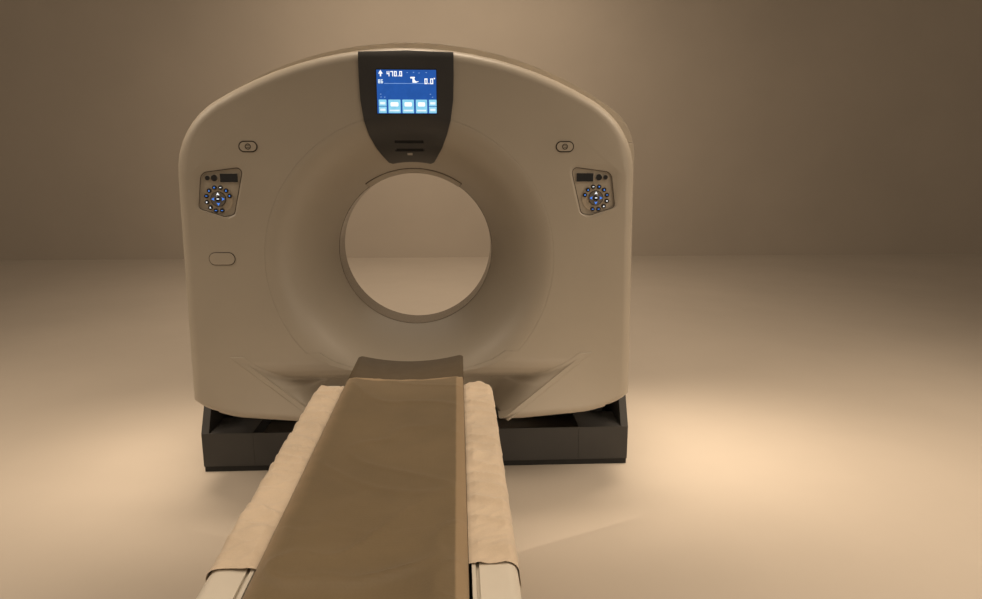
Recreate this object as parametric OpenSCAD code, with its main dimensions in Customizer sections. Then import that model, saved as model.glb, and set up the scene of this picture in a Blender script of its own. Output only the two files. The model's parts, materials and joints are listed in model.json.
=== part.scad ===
// Computed tomography scanner: a tilting ring gantry on a floor base, and a patient table whose
// cradle lies on rails in front of the bore. Millimetres, +Z up, +Y along the bore to the rear.
// The origin is on the floor under the middle of the bore.

/* [Gantry] */
// Height of the bore axis, which is the tilt axis too
iso_h = 1000; // [980:2:1030]
// Inner radius of the scan window
bore_r = 350; // [340:1:360]
// Length of the scan window along the bore
window_len = 160; // [140:2:180]
// Wall of the scan window
window_wall = 12; // [8:1:16]
// Depth of the gantry from front face to rear face
gantry_depth = 900; // [890:2:940]
// Half the width of the front and rear covers, low down where they are widest
cover_half_w = 936; // [930:1:944]
// Distance that the covers' sides lean in from there to the shoulders
side_lean = 16; // [12:1:20]
// Height of the covers' crown above the bore axis
crown_up = 840; // [820:2:860]
// Radius of the covers' crown
crown_r = 1500; // [1450:10:1600]
// Radius of the covers' shoulders
shoulder_r = 340; // [300:5:360]
// Height of the covers' lower edge below the bore axis, at the middle
belly_down = 712; // [706:1:716]
// Depth of the front and rear covers, face to seam
cover_len = 292; // [280:2:300]
// Rounding of the covers' outer edge
edge_r = 46; // [40:2:50]
// Wall of the moulded covers
skin = 8; // [5:1:9]
// Radius of the dish where it runs out in the front face
dish_mouth_r = 590; // [560:5:610]
// Gap between the covers and the shell between them
seam = 8; // [4:1:12]
// Height that the crown shell stands above the covers' crown
crown_step = 58; // [50:2:70]
// Step from the covers' widest sides out to the side shells
shell_step = 49; // [45:1:54]
// Furthest that the gantry tilts each way, in degrees
tilt_max = 30; // [20:1:30]

/* [Controls] */
// Height of the display's middle above the bore axis
display_up = 670; // [660:2:680]
// Width of the display's glass
display_w = 234; // [200:2:250]
// Height of the display's glass
display_h = 168; // [150:2:180]
// Thickness of the display's bezel on the cover
bezel_t = 7; // [5:1:10]
// Distance of each control panel's key ring in from the covers' widest side
panel_in = 176; // [166:1:181]
// Height of each control panel's key ring above the bore axis
panel_up = 256; // [250:2:262]
// Depth of the control panels' recess
panel_deep = 12; // [10:1:14]
// Radius of the circle on which the ring keys lie
ring_r = 47; // [45:1:49]
// Radius of each ring key
ring_key_r = 9; // [7:0.5:10]
// Radius of the direction pad
pad_r = 30; // [28:1:33]
// Running gap around each key
key_gap = 0.4; // [0.3:0.1:0.6]
// Travel of each key
key_travel = 1.5; // [1:0.1:2]

/* [Base] */
// Step from the covers' widest sides out to the ends of the base
base_step = 44; // [40:1:50]
// Front face of the base, measured from the tilt axis
base_front = 262; // [256:2:270]
// Rear face of the base, measured from the tilt axis
base_rear = 400; // [380:5:420]
// Height of the base's covers
base_h = 186; // [170:2:190]
// Height of the black kick strip at the floor
kick_h = 26; // [20:1:32]
// Width of the base's end covers
end_cap_w = 232; // [215:2:240]
// Wall of the base's covers
base_wall = 6; // [4:1:8]
// Height of the base's steel beams
beam_h = 100; // [90:2:104]
// Depth of each pylon, along the bore
pylon_d = 116; // [100:2:118]
// Thickness of each pylon, across the gantry
pylon_t = 60; // [50:2:60]
// Radius of the tilt trunnions
trunnion_r = 45; // [40:1:50]

/* [Rotor] */
// Radius of the main bearing's running surface
bearing_r = 470; // [460:2:480]
// Outer radius of the drum
drum_r = 655; // [640:5:660]
// Wall of the drum's rim and flange
drum_wall = 22; // [16:1:28]

/* [Table] */
// Height of the cradle's upper edge at rest
table_top = 630; // [620:2:640]
// Distance of the cradle's head end from the tilt axis
head_end = 556; // [552:1:580]
// Half the width of the cradle
cradle_half_w = 210; // [200:2:214]
// Depth of the cradle's trough at its middle
cradle_dip = 25; // [20:1:30]
// Thickness of the cradle's shell
cradle_t = 32; // [26:1:36]
// Bare length of the cradle at its head end
bare_len = 290; // [250:5:320]
// Distance of the side rails' head end from the tilt axis
rail_head = 905; // [890:5:930]
// Length of the side rails
rail_len = 2045; // [1960:5:2060]
// Distance of the cradle's near end from the rails' near end
cradle_back = 94; // [92:1:120]
// Height of the cradle's upper edge above the underside of the table frame
frame_drop = 175; // [172:1:180]
// Width of each side rail over the top
rail_w = 94; // [88:1:100]
// Length of each side rail that its cloth covers
cloth_len = 1080; // [1000:10:1140]
// Thickness of the rail's cloth
cloth_t = 4; // [3:0.5:6]
// Length of the table's foot along the floor
foot_len = 1230; // [1180:10:1260]
// Half the width of the table's telescoping covers
hood_half_w = 285; // [280:1:290]
// Wall of the telescoping covers
hood_wall = 5; // [4:0.5:6]
// Lowest travel of the table from rest
lift_down = 150; // [120:5:150]
// Highest travel of the table from rest
lift_up = 280; // [240:5:280]

/* [Hidden] */
$fn = 96;

WHITE = [0.86, 0.83, 0.77];
CHARCOAL = [0.24, 0.23, 0.22];
STEEL = [0.62, 0.63, 0.65];

shell_half_w = cover_half_w + shell_step;
base_half_w = cover_half_w + base_step;
cover_top_w = cover_half_w - side_lean;
panel_x = cover_half_w - panel_in;
cradle_len = rail_head + rail_len - cradle_back - head_end;
front_y = -gantry_depth / 2;
seam_y = cover_len - gantry_depth / 2;
mid_y = seam_y + seam;
crown_z0 = crown_up - crown_r;
gap = 0.3;

// Points of an arc about (x, z), from angle a0 to a1 measured from straight up, clockwise
function arc(x, z, r, a0, a1, n) =
  [for (i = [0:n]) let (a = a0 + (a1 - a0) * i / n) [x + r * sin(a), z + r * cos(a)]];

// Height of a shoulder's centre, for a half width w, crown radius cr and shoulder radius sr
function shoulder_z(w, cr, sr) = crown_z0 + sqrt(pow(cr - sr, 2) - pow(w - sr, 2));

// Angle at which the crown runs into the shoulder
function shoulder_a(w, cr, sr) = atan2(w - sr, shoulder_z(w, cr, sr) - crown_z0);

function mirrored(p) = [for (i = [len(p) - 1:-1:0]) [-p[i][0], p[i][1]]];
function backward(p) = [for (i = [len(p) - 1:-1:0]) p[i]];

// Points of a curve that leaves a towards b and arrives at c from b
function bow(a, b, c, n) =
  [for (i = [0:n]) let (t = i / n) (1 - t) * (1 - t) * a + 2 * t * (1 - t) * b + t * t * c];

// Right half of a cover's outline in front view, set in by g
side_full = 509;
toe_w = 196;
toe_up = 90;
toe_turn = [56, 25];
belly_rise = 32;
toe_z = belly_rise - belly_down;
function cover_half(g) = concat(
  arc(0, crown_z0, crown_r - g, 0, shoulder_a(cover_top_w, crown_r, shoulder_r), 9),
  arc(cover_top_w - shoulder_r, shoulder_z(cover_top_w, crown_r, shoulder_r),
      shoulder_r - g, shoulder_a(cover_top_w, crown_r, shoulder_r) + 5, 90, 7),
  [[cover_half_w - g, -side_full]],
  bow([cover_half_w - g, toe_z + toe_up], [cover_half_w - toe_turn[0] - g / 2, toe_z + toe_turn[1] + g],
      [cover_half_w - toe_w, toe_z + g], 6),
  [[cover_half_w / 2, belly_rise / 4 - belly_down + g], [0, g - belly_down]]
);

// A half outline, listed from its top point down, closed with its mirror image
function closed(p) = concat(p, mirrored([for (q = p) if (q[0] > 0.001) q]));

// Solid through rings of points, listed from front to back
module loft(rings) {
  n = len(rings[0]);
  m = len(rings);
  polyhedron(
    points = [for (r = rings) each r],
    faces = concat(
      [[for (i = [0:n - 1]) i], [for (i = [n - 1:-1:0]) (m - 1) * n + i]],
      [for (k = [0:m - 2], i = [0:n - 1]) let (j = (i + 1) % n)
        [k * n + i, (k + 1) * n + i, (k + 1) * n + j, k * n + j]]
    )
  );
}

// The convex body of a cover, set in by g, with its outer front edge rounded
function cover_ring(y, g) = [for (p = closed(cover_half(g))) [p[0], y, p[1]]];
edge_steps = 4;
module cover_form(g) {
  loft(concat(
    [for (i = [edge_steps:-1:0]) let (a = 90 * i / edge_steps)
      cover_ring(front_y + g + (edge_r - g) * (1 - sin(a)), g + (edge_r - g) * (1 - cos(a)))],
    [cover_ring(seam_y + (g > 0 ? 1 : 0), g)]
  ));
}

// Curve of the dish from its lip in front of the scan window to the front face: t runs from 0 to 1
window_r = bore_r + window_wall;
lip_t = 4;
dish_r0 = bore_r + 2;
dish_y0 = -window_len / 2 - lip_t;
dish_mid_r = dish_r0 + 0.44 * (dish_mouth_r - dish_r0);
function dish(t, g) = [
  (1 - t) * (1 - t) * dish_r0 + 2 * t * (1 - t) * dish_mid_r + t * t * dish_mouth_r + g * (1 - t),
  (1 - t) * (1 - t) * dish_y0 + (1 - (1 - t) * (1 - t)) * front_y + g * sqrt(t)
];
dish_steps = 16;
function dish_line(g) = [for (i = [0:dish_steps]) dish(i / dish_steps, g)];

// Turns a profile of (radius, y) points about the bore axis
module turn(profile, start = 0, sweep = 360) {
  rotate([-90, 0, 0]) rotate([0, 0, start])
    rotate_extrude(angle = sweep, $fn = 128)
      polygon([for (p = profile) [p[0], p[1]]]);
}

// The space inside the dish
module dish_space() {
  turn(concat([[0, dish_y0 + 40], [dish_r0, dish_y0 + 40]], dish_line(0),
              [[dish_mouth_r, front_y - 20], [0, front_y - 20]]));
}

// Wall of the dish, with a lip in front of the scan window and a sleeve round it
sleeve_l = 18;
module dish_wall() {
  turn(concat([[dish_r0, -window_len / 2]], dish_line(0),
              [for (i = [dish_steps:-1:2]) dish(i / dish_steps, skin)],
              [[window_r + skin, dish_y0 - 28], [window_r + skin, sleeve_l - window_len / 2],
               [window_r, sleeve_l - window_len / 2], [window_r, -window_len / 2]]));
}

// Recess under the bore that lets the gantry tilt over the table, grown by g: the front face
// rolls in under the bore, turns down in a cove and runs out at the lower edge
scoop_top = 395;
scoop_roll = [365, 520];
scoop_cove = [272, 538];
scoop_back = [236, 624];
scoop_toe = [196, 724];
scoop_wide = 735;
scoop_narrow = 345;
scoop_line = concat(
  bow([front_y - 2, -scoop_top], [front_y - 2, -scoop_top - 105], -scoop_roll, 5),
  [for (p = bow(-scoop_roll, -scoop_cove, -scoop_back, 6)) if (p != -scoop_roll) p],
  [-scoop_toe]
);
module scoop_form(g) {
  intersection() {
    rotate([90, 0, 90]) translate([0, 0, -scoop_wide - g]) linear_extrude(2 * (scoop_wide + g))
      polygon(concat([[front_y - 40, g - scoop_top]], [for (p = scoop_line) [p[0] + 1.4 * g, p[1] + g]],
                     [[1.4 * g - scoop_toe[0], -scoop_toe[1]], [front_y - 40, -scoop_toe[1]]]));
    rotate([90, 0, 0]) linear_extrude(gantry_depth)
      polygon([
        [-scoop_wide - g, g - scoop_top], [scoop_wide + g, g - scoop_top],
        [scoop_narrow + g, -scoop_toe[1]], [-scoop_narrow - g, -scoop_toe[1]]
      ]);
  }
}

// The space that the pylons sweep, seen from the tilting gantry
pylon_out = cover_top_w - skin - 13;
pylon_in = pylon_out - pylon_t;
module pylon_sweep() {
  w = pylon_d / 2 + 5;
  down = 950;
  c = cos(tilt_max);
  s = sin(tilt_max);
  for (side = [-1, 1])
    translate([side * (pylon_in + pylon_t / 2) - pylon_t / 2 - 8, 0, 0])
      rotate([90, 0, 90]) linear_extrude(pylon_t + 16)
        polygon([
          [-w, 0], [-w * c - down * s, w * s - down * c], [0, -down],
          [w * c + down * s, w * s - down * c], [w, 0]
        ]);
}

// One moulded cover, open at the back and at the bottom, with the round mouth for its dish
mouth_r = dish_mouth_r + 0.22;
module cover(with_scoop) {
  difference() {
    union() {
      difference() {
        cover_form(0);
        cover_form(skin);
        translate([-cover_half_w, front_y + edge_r, -belly_down - 10])
          cube([2 * cover_half_w, cover_len, belly_rise + toe_up / 2]);
        turn([[0, front_y - 1], [mouth_r, front_y - 1], [mouth_r, front_y + 2 * skin],
              [0, front_y + 2 * skin]]);
      }
      if (with_scoop) intersection() { cover_form(0); scoop_form(skin); }
    }
    if (with_scoop) { dish_space(); scoop_form(0); }
    pylon_sweep();
  }
}

// Radius of the keypad's mat, and how far the panel has to grow beyond its drawn size to hold it
mat_r = ring_r + ring_key_r + 1;
drawn_mat_r = 57;
panel_grow = mat_r - drawn_mat_r;

// Shield outlines in front view about the key ring's centre, as round corners [x, z, radius]:
// of a control panel, and of the sloped recess round it
panel_corners = [[-32, 76, 32], [80, 102, 21], [-62, -26, 16], [22, -50, 20], [44, -46, 20]];
recess_corners = [[-38, 92, 46], [84, 118, 30], [-70, -20, 20], [22, -56, 27], [46, -46, 26]];
recess_t = 5;
module shield(corners, g) {
  hull() for (c = corners) translate([c[0], c[1]]) circle(c[2] + panel_grow - g, $fn = 32);
}

// Places a front-view drawing for the left (-1) or right (1) panel; +y of the drawing is up,
// its z = 0 is the cover's face and rises out of it
module on_panel(side) {
  translate([side * panel_x, front_y, iso_h + panel_up]) mirror([side > 0 ? 1 : 0, 0, 0])
    rotate([90, 0, 0]) children();
}

module panel_prism(g, z0, z1) {
  translate([0, 0, z0]) linear_extrude(z1 - z0) shield(panel_corners, g);
}

small_pos = [-37, 83];
large_pos = [-10, 83];
small_r = 9;
large_r = 12.5;
centre_r = 11;
collar_t = 3;
floor_z = -panel_deep;
key_under = 2.5;
key_rest = key_travel + 0.3;

// Tray of a control panel: recess, floor, key collars and the small display window
module panel_tray(side) {
  color(WHITE) on_panel(side) difference() {
    union() {
      difference() {
        panel_prism(0, floor_z - 4, -recess_t);
        panel_prism(3, floor_z, 1);
      }
      translate([small_pos[0], small_pos[1], floor_z])
        cylinder(r = small_r + key_gap + collar_t, h = 4);
      translate([large_pos[0], large_pos[1], floor_z])
        cylinder(r = large_r + key_gap + collar_t, h = 4);
      translate([10, 64, floor_z]) cube([74, 38, 4]);
    }
    translate([small_pos[0], small_pos[1], floor_z - key_under]) cylinder(r = small_r + key_gap, h = 10);
    translate([large_pos[0], large_pos[1], floor_z - key_under]) cylinder(r = large_r + key_gap, h = 10);
    translate([12, 66, floor_z + 2.5]) cube([70, 34, 4]);
  }
}

// Elastomer keypad: one mat with ten domed keys round the direction pad
key_angles = [-165, -135, -105, -75, -45, -15, 15, 45, 75, 165];
mat_t = 3;
module keypad(side) {
  color([0.30, 0.32, 0.36]) on_panel(side) translate([0, 0, floor_z]) difference() {
    union() {
      cylinder(r = mat_r, h = mat_t);
      for (a = key_angles)
        translate([ring_r * sin(a), ring_r * cos(a), 0]) {
          cylinder(r = ring_key_r, h = mat_t + 4);
          translate([0, 0, mat_t + 4]) cylinder(r1 = ring_key_r, r2 = ring_key_r - 2, h = 2);
        }
    }
    translate([0, 0, -1]) cylinder(r = pad_r + key_gap, h = 20);
  }
}

module round_button(side, pos, r) {
  color([0.08, 0.08, 0.09]) on_panel(side)
    translate([pos[0], pos[1], floor_z - key_under + key_rest]) {
      cylinder(r = r, h = 8);
      translate([0, 0, 8]) cylinder(r1 = r, r2 = r - 1.5, h = 1.5);
    }
}

// Direction pad with four raised arrows, and the round key in its middle
module direction_pad(side) {
  color([0.18, 0.20, 0.26]) on_panel(side)
    translate([0, 0, floor_z + key_rest]) difference() {
      union() {
        cylinder(r = pad_r - 0.01, h = 6);
        for (a = [0:90:270]) rotate([0, 0, a]) translate([0, pad_r - 14, 6])
          linear_extrude(1) polygon([[-5, 0], [5, 0], [0, 8]]);
      }
      translate([0, 0, -1]) cylinder(r = centre_r + key_gap, h = 10);
    }
}

module centre_key(side) {
  color([0.75, 0.78, 0.82]) on_panel(side)
    translate([0, 0, floor_z + key_rest]) {
      cylinder(r = centre_r, h = 8);
      translate([0, 0, 8]) cylinder(r1 = centre_r, r2 = centre_r - 2, h = 1.5);
    }
}

// Pill-shaped caps over the gantry's fixing points, as [x, z, height, length]
upper_cap_x = cover_half_w - 309;
lower_cap_x = cover_half_w - 175;
pills = [[-upper_cap_x, 461, 38, 68], [upper_cap_x, 461, 38, 68], [-lower_cap_x, 16, 48, 101]];
module pill(h, l, t) {
  for (s = [-1, 1]) translate([s * (l - h) / 2, 0, 0]) cylinder(d = h, h = t);
  translate([(h - l) / 2, -h / 2, 0]) cube([l - h, h, t]);
}

module access_caps() {
  color(WHITE) translate([0, front_y, iso_h]) for (p = pills)
    translate([p[0], 0, p[1]]) rotate([90, 0, 0]) pill(p[2], p[3], 3);
}

module front_cover() {
  color(WHITE) difference() {
    translate([0, 0, iso_h]) cover(true);
    for (side = [-1, 1]) on_panel(side) {
      panel_prism(0, -2 * skin, 5);
      hull() {
        linear_extrude(0.5) shield(recess_corners, 0);
        translate([0, 0, -recess_t]) linear_extrude(0.5) shield(panel_corners, 0);
      }
    }
  }
}

module rear_cover() {
  color(WHITE) translate([0, 0, iso_h]) mirror([0, 1, 0]) cover(false);
}

module front_dish() {
  color(WHITE) translate([0, 0, iso_h]) difference() { dish_wall(); scoop_form(skin); }
}

module rear_dish() {
  color(WHITE) translate([0, 0, iso_h]) mirror([0, 1, 0]) dish_wall();
}

// Shell between the covers: outline in front view, set in by g
shell_shoulder_r = 250;
shell_r = crown_r + crown_step;
function shell_half(g) = concat(
  arc(0, crown_z0, shell_r - g, 0, shoulder_a(shell_half_w, shell_r, shell_shoulder_r), 12),
  arc(shell_half_w - shell_shoulder_r, shoulder_z(shell_half_w, shell_r, shell_shoulder_r),
      shell_shoulder_r - g, shoulder_a(shell_half_w, shell_r, shell_shoulder_r) + 5, 90, 7),
  [[shell_half_w - g, -side_down]]
);
side_down = 580;
split_up = 480;

flange_t = 8;

// The shell with a flange at each edge that closes the step down to the covers
module shell_ring() {
  difference() {
    translate([0, -mid_y, 0]) rotate([90, 0, 0]) linear_extrude(-2 * mid_y)
      polygon(closed(shell_half(0)));
    translate([0, -mid_y - flange_t, 0]) rotate([90, 0, 0]) linear_extrude(-2 * (mid_y + flange_t))
      polygon(closed(concat(shell_half(skin), [[shell_half_w - skin, -side_down - 5]])));
    translate([0, -mid_y + 5, 0]) rotate([90, 0, 0]) linear_extrude(10 - 2 * mid_y)
      polygon(closed(cover_half(skin)));
  }
}

// Crown: the upper part of the shell, with an air slot along its top
module crown_shell() {
  color(WHITE) translate([0, 0, iso_h]) difference() {
    intersection() {
      shell_ring();
      translate([-shell_half_w - 5, mid_y - 5, split_up + 1])
        cube([2 * shell_half_w + 10, 10 - 2 * mid_y, crown_up]);
    }
    for (i = [-4:4]) if (i != 0) translate([i * 110 - 40, -45, crown_up - 140])
      cube([80, 90, 400]);
  }
}

module side_shell(side) {
  color(WHITE) translate([0, 0, iso_h]) intersection() {
    shell_ring();
    translate([side > 0 ? 100 : -shell_half_w - 5, mid_y - 5, -side_down - 10])
      cube([shell_half_w - 95, 10 - 2 * mid_y, side_down + split_up + 10]);
  }
}

// Dark ring inside the bore that the beam passes through
module scan_window() {
  color([0.20, 0.20, 0.20]) translate([0, 0, iso_h]) rotate([90, 0, 0]) difference() {
    cylinder(r = window_r, h = window_len, center = true, $fn = 128);
    cylinder(r = bore_r, h = window_len + 2, center = true, $fn = 128);
  }
}

// Raised band over the upper mouth of the bore
brow_a = 35;
brow_t = 5;
function brow_line(g) = [for (i = [0:4]) let (p = dish(0.085 * i / 4, 0)) [p[0] - g, p[1]]];
module brow_band() {
  color([0.80, 0.77, 0.71]) translate([0, 0, iso_h])
    turn(concat(brow_line(0), backward(brow_line(brow_t))), start = -90 - brow_a,
         sweep = 2 * brow_a);
}

// Outline of the display's shield-shaped bezel, right half, from the top down
bezel_up = crown_up - 20;
bezel_half = [
  [184, bezel_up], [184, 730], [181, 640], [170, 562], [154, 505], [133, 455], [112, 420], [96, 396]
];
bezel_span = 600;
bezel_low_w = 80;
bezel_low_r = 398;
function bezel_outline() = concat(
  bezel_half,
  [for (i = [0:8]) let (x = bezel_low_w * (1 - i / 4)) [x, sqrt(bezel_low_r * bezel_low_r - x * x)]],
  mirrored(bezel_half), [[0, bezel_up + 6]]
);

// Where the bezel follows the rounded edge of the cover, moved out by g
function bezel_edge(g) = [for (i = [edge_steps:-1:2]) let (a = 90 * i / edge_steps)
  [front_y - g + edge_r * (1 - sin(a)), crown_up - edge_r * (1 - cos(a))]];

module bezel_prism() {
  rotate([90, 0, 0]) linear_extrude(gantry_depth) polygon(bezel_outline());
}

module display_bezel() {
  color([0.26, 0.25, 0.24]) translate([0, 0, iso_h]) difference() {
    intersection() {
      bezel_prism();
      union() {
        difference() {
          rotate([90, 0, 90]) translate([0, 0, -bezel_span / 2]) linear_extrude(bezel_span)
            polygon(concat([[front_y, bezel_low_r / 2]], bezel_edge(0),
                           backward(bezel_edge(bezel_t)), [[front_y - bezel_t, bezel_low_r / 2]]));
          turn(concat([[0, front_y + 5]], [[dish_mouth_r - bezel_t, front_y + 5]],
                      [[dish_mouth_r - bezel_t, front_y - 2 * bezel_t], [0, front_y - 2 * bezel_t]]));
        }
        turn(concat([for (i = [1:dish_steps]) dish(i / dish_steps, 0)],
                    backward([for (i = [1:dish_steps]) dish(i / dish_steps, -bezel_t)])));
      }
    }
    translate([-display_w / 2, front_y - bezel_t - 1, display_up - display_h / 2])
      cube([display_w, glass_t + 3, display_h]);
    intersection() {
      for (z = [481, 449]) translate([0, front_y - 60, z]) rotate([-90, 0, 0]) pill(11, 120, 400);
      turn(concat([for (i = [1:dish_steps]) dish(i / dish_steps, -2)],
                  backward([for (i = [1:dish_steps]) dish(i / dish_steps, -bezel_t - 6)])));
    }
  }
}

glass_t = 2;
module display_screen() {
  color([0.12, 0.32, 0.66]) translate([0, 0, iso_h])
    translate([-display_w / 2 + gap, front_y + 2 - bezel_t, display_up - display_h / 2 + gap])
      cube([display_w - 2 * gap, glass_t, display_h - 2 * gap]);
}

// Tilting frame: a cast ring plate with a trunnion on each side
plate_y0 = 60;
plate_y1 = 150;
bearing_y0 = 12;
bracket_x = 380;
bracket_w = 40;
bracket_l = min(plate_y1, -mid_y - flange_t - 2) - plate_y0;
arm_z = shoulder_z(shell_half_w, shell_r, shell_shoulder_r) - 50;
module tilt_frame() {
  color(STEEL) translate([0, 0, iso_h]) {
    for (s = [-1, 1]) {
      intersection() {
        translate([s > 0 ? bracket_x : -bracket_x - bracket_w, plate_y0, drum_r - 110])
          cube([bracket_w, bracket_l, crown_up]);
        translate([0, plate_y1, 0]) rotate([90, 0, 0]) linear_extrude(plate_y1)
          polygon(closed(shell_half(skin + gap)));
      }
      intersection() {
        translate([s > 0 ? bracket_x : -bracket_x - bracket_w, seam_y - 20, crown_up - 110])
          cube([bracket_w, 2 * (20 - seam_y), 110]);
        translate([0, gantry_depth / 2, 0]) rotate([90, 0, 0]) linear_extrude(gantry_depth)
          polygon(closed(cover_half(skin + gap)));
      }
      translate([s > 0 ? drum_r - 200 : -shell_half_w + skin + gap, plate_y0, arm_z])
        cube([shell_half_w - skin - gap - drum_r + 200, bracket_l, 40]);
    }
    difference() {
      union() {
        translate([0, plate_y1, 0]) rotate([90, 0, 0]) cylinder(r = drum_r + 25, h = plate_y1 - plate_y0);
        for (s = [-1, 1]) {
          translate([s > 0 ? drum_r - 60 : -pylon_in + 14, plate_y0, -120])
            cube([pylon_in - drum_r + 46, plate_y1 - plate_y0, 240]);
          translate([s > 0 ? pylon_in - 80 : -pylon_in + 14, -90, -90])
            cube([66, plate_y0 + 90, 180]);
          translate([s > 0 ? pylon_in - 16 : -pylon_out + 2, 0, 0]) rotate([0, 90, 0])
            cylinder(r = trunnion_r, h = pylon_t + 14);
        }
      }
      translate([0, plate_y1 + 5, 0]) rotate([90, 0, 0])
        cylinder(r = bearing_r + 14, h = plate_y1 - plate_y0 + 10);
      for (a = [0:45:315]) rotate([0, a + 22.5, 0]) translate([0, plate_y1 + 5, drum_r - 70])
        rotate([90, 0, 0]) cylinder(r = 45, h = plate_y1 - plate_y0 + 10);
    }
  }
}

// Fixed ring of the main bearing
module bearing_ring() {
  color([0.70, 0.71, 0.73]) translate([0, plate_y0, iso_h]) rotate([90, 0, 0]) difference() {
    cylinder(r = bearing_r + 70, h = plate_y0 - bearing_y0);
    translate([0, 0, -1]) cylinder(r = bearing_r, h = plate_y0 - bearing_y0 + 2);
  }
}

// Rotor: flange, journal and rim of the drum
flange_y = -30;
rim_len = 130;
module rotor_drum() {
  inner = bearing_r - 40;
  color([0.55, 0.57, 0.60]) translate([0, 0, iso_h]) difference() {
    turn([
      [inner, plate_y0 - 2], [bearing_r - 0.05, plate_y0 - 2], [bearing_r - 0.05, bearing_y0 - 1],
      [drum_r, bearing_y0 - 1], [drum_r, flange_y - rim_len], [drum_r - drum_wall, flange_y - rim_len],
      [drum_r - drum_wall, flange_y], [inner, flange_y]
    ]);
    for (a = [22.5:45:337.5]) rotate([0, a, 0]) translate([0, 30, bearing_r + 75])
      rotate([90, 0, 0]) cylinder(r = 32, h = 120);
  }
}

rotor_in_r = bearing_r - 5;
rotor_out_r = drum_r - drum_wall - 6;

// Tube housing at the top of the rotor, with its collimator below it
module xray_tube() {
  color([0.82, 0.82, 0.80]) translate([0, flange_y, iso_h]) {
    translate([0, 0, rotor_in_r + 82]) rotate([90, 0, 0]) {
      cylinder(r = 70, h = 135);
      translate([0, 0, 135]) cylinder(r1 = 70, r2 = 52, h = 14);
    }
    translate([-55, -110, rotor_in_r - 20]) cube([110, 100, 40]);
    translate([-75, -22, rotor_in_r - 10]) cube([150, 22, 130]);
  }
}

// A block of the rotor that fills part of the ring, seen from the front
module rotor_block(mid_a, half_a, r0, r1, deep) {
  translate([0, 0, iso_h])
    turn([[r0, flange_y], [r1, flange_y], [r1, flange_y - deep], [r0, flange_y - deep]],
         start = mid_a - half_a, sweep = 2 * half_a);
}

module voltage_tank() { color([0.45, 0.47, 0.50]) rotor_block(180, 26, rotor_in_r + 5, rotor_out_r, 118); }
module inverter() { color([0.50, 0.52, 0.54]) rotor_block(0, 22, rotor_in_r + 5, rotor_out_r, 104); }
module detector_bank() {
  color([0.30, 0.34, 0.40]) {
    rotor_block(90, 27, rotor_out_r - 70, rotor_out_r, 112);
    translate([0, flange_y - 96, iso_h]) for (i = [-3:3]) rotate([0, i * 7, 0])
      translate([-8, 0, 60 - rotor_out_r]) cube([16, 88, 26]);
  }
}

// Steel base frame: two cross beams and two side beams
beam_z = 30;
beam_front = base_front - 42;
anchor_y = 95;
anchor_r = 9;
anchor_x = pylon_in + pylon_t / 2;
module base_frame() {
  color([0.33, 0.34, 0.36]) difference() {
    union() {
      for (y = [-beam_front, base_rear - 120])
        translate([1 - base_half_w + 40, y, beam_z]) cube([2 * base_half_w - 82, 90, beam_h]);
      for (s = [-1, 1])
        translate([s > 0 ? pylon_in - 24 : -pylon_out - 14, -beam_front + 90, beam_z])
          cube([pylon_t + 38, base_rear - 210 + beam_front, beam_h]);
      for (s = [-1, 1], y = [-100, 180])
        translate([s > 0 ? pylon_out + 10 : gap + base_wall - base_half_w, y, beam_z + 20])
          cube([base_half_w - base_wall - gap - pylon_out - 10, 40, 40]);
      for (x = [-anchor_x, anchor_x], y = [-anchor_y, anchor_y])
        translate([x, y, 0]) cylinder(r = 32, h = beam_z);
    }
    for (x = [-anchor_x, anchor_x], y = [-anchor_y, anchor_y])
      translate([x, y, -1]) cylinder(r = anchor_r, h = beam_z + beam_h + 2);
  }
}

// Pylon that carries one trunnion
module pylon(side) {
  color([0.36, 0.37, 0.39]) translate([side > 0 ? pylon_in : -pylon_out, 0, 0]) difference() {
    union() {
      translate([0, -pylon_d / 2, beam_z + beam_h])
        cube([pylon_t, pylon_d, iso_h - beam_z - beam_h]);
      translate([0, 0, iso_h]) rotate([0, 90, 0]) cylinder(r = pylon_d / 2 + 22, h = pylon_t);
    }
    translate([-1, 0, iso_h]) rotate([0, 90, 0]) cylinder(r = trunnion_r + 0.05, h = pylon_t + 2);
  }
}

// Geared motor that turns the left trunnion
module tilt_gearmotor() {
  color([0.20, 0.21, 0.23]) translate([-pylon_out - 1, 0, iso_h]) rotate([0, -90, 0]) {
    translate([0, 0, -1]) difference() {
      cylinder(r = pylon_d / 2 + 16, h = 24);
      translate([0, 0, -1]) cylinder(r = trunnion_r + 8, h = 8);
    }
    translate([0, 0, 23]) cylinder(r = pylon_d / 2 - 4, h = 14);
  }
}

bridge_half_w = 150;
notch = bridge_half_w + 4;
bridge_h = 40;

// Front and rear panels of the base between its end covers
module base_panel(y0, notched) {
  w = base_half_w - end_cap_w;
  color(CHARCOAL) difference() {
    translate([-w, y0, kick_h]) cube([2 * w, base_wall, base_h - kick_h]);
    if (notched) translate([-notch, y0 - 5, 0]) cube([2 * notch, base_wall + 10, bridge_h + 4]);
  }
}

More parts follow.
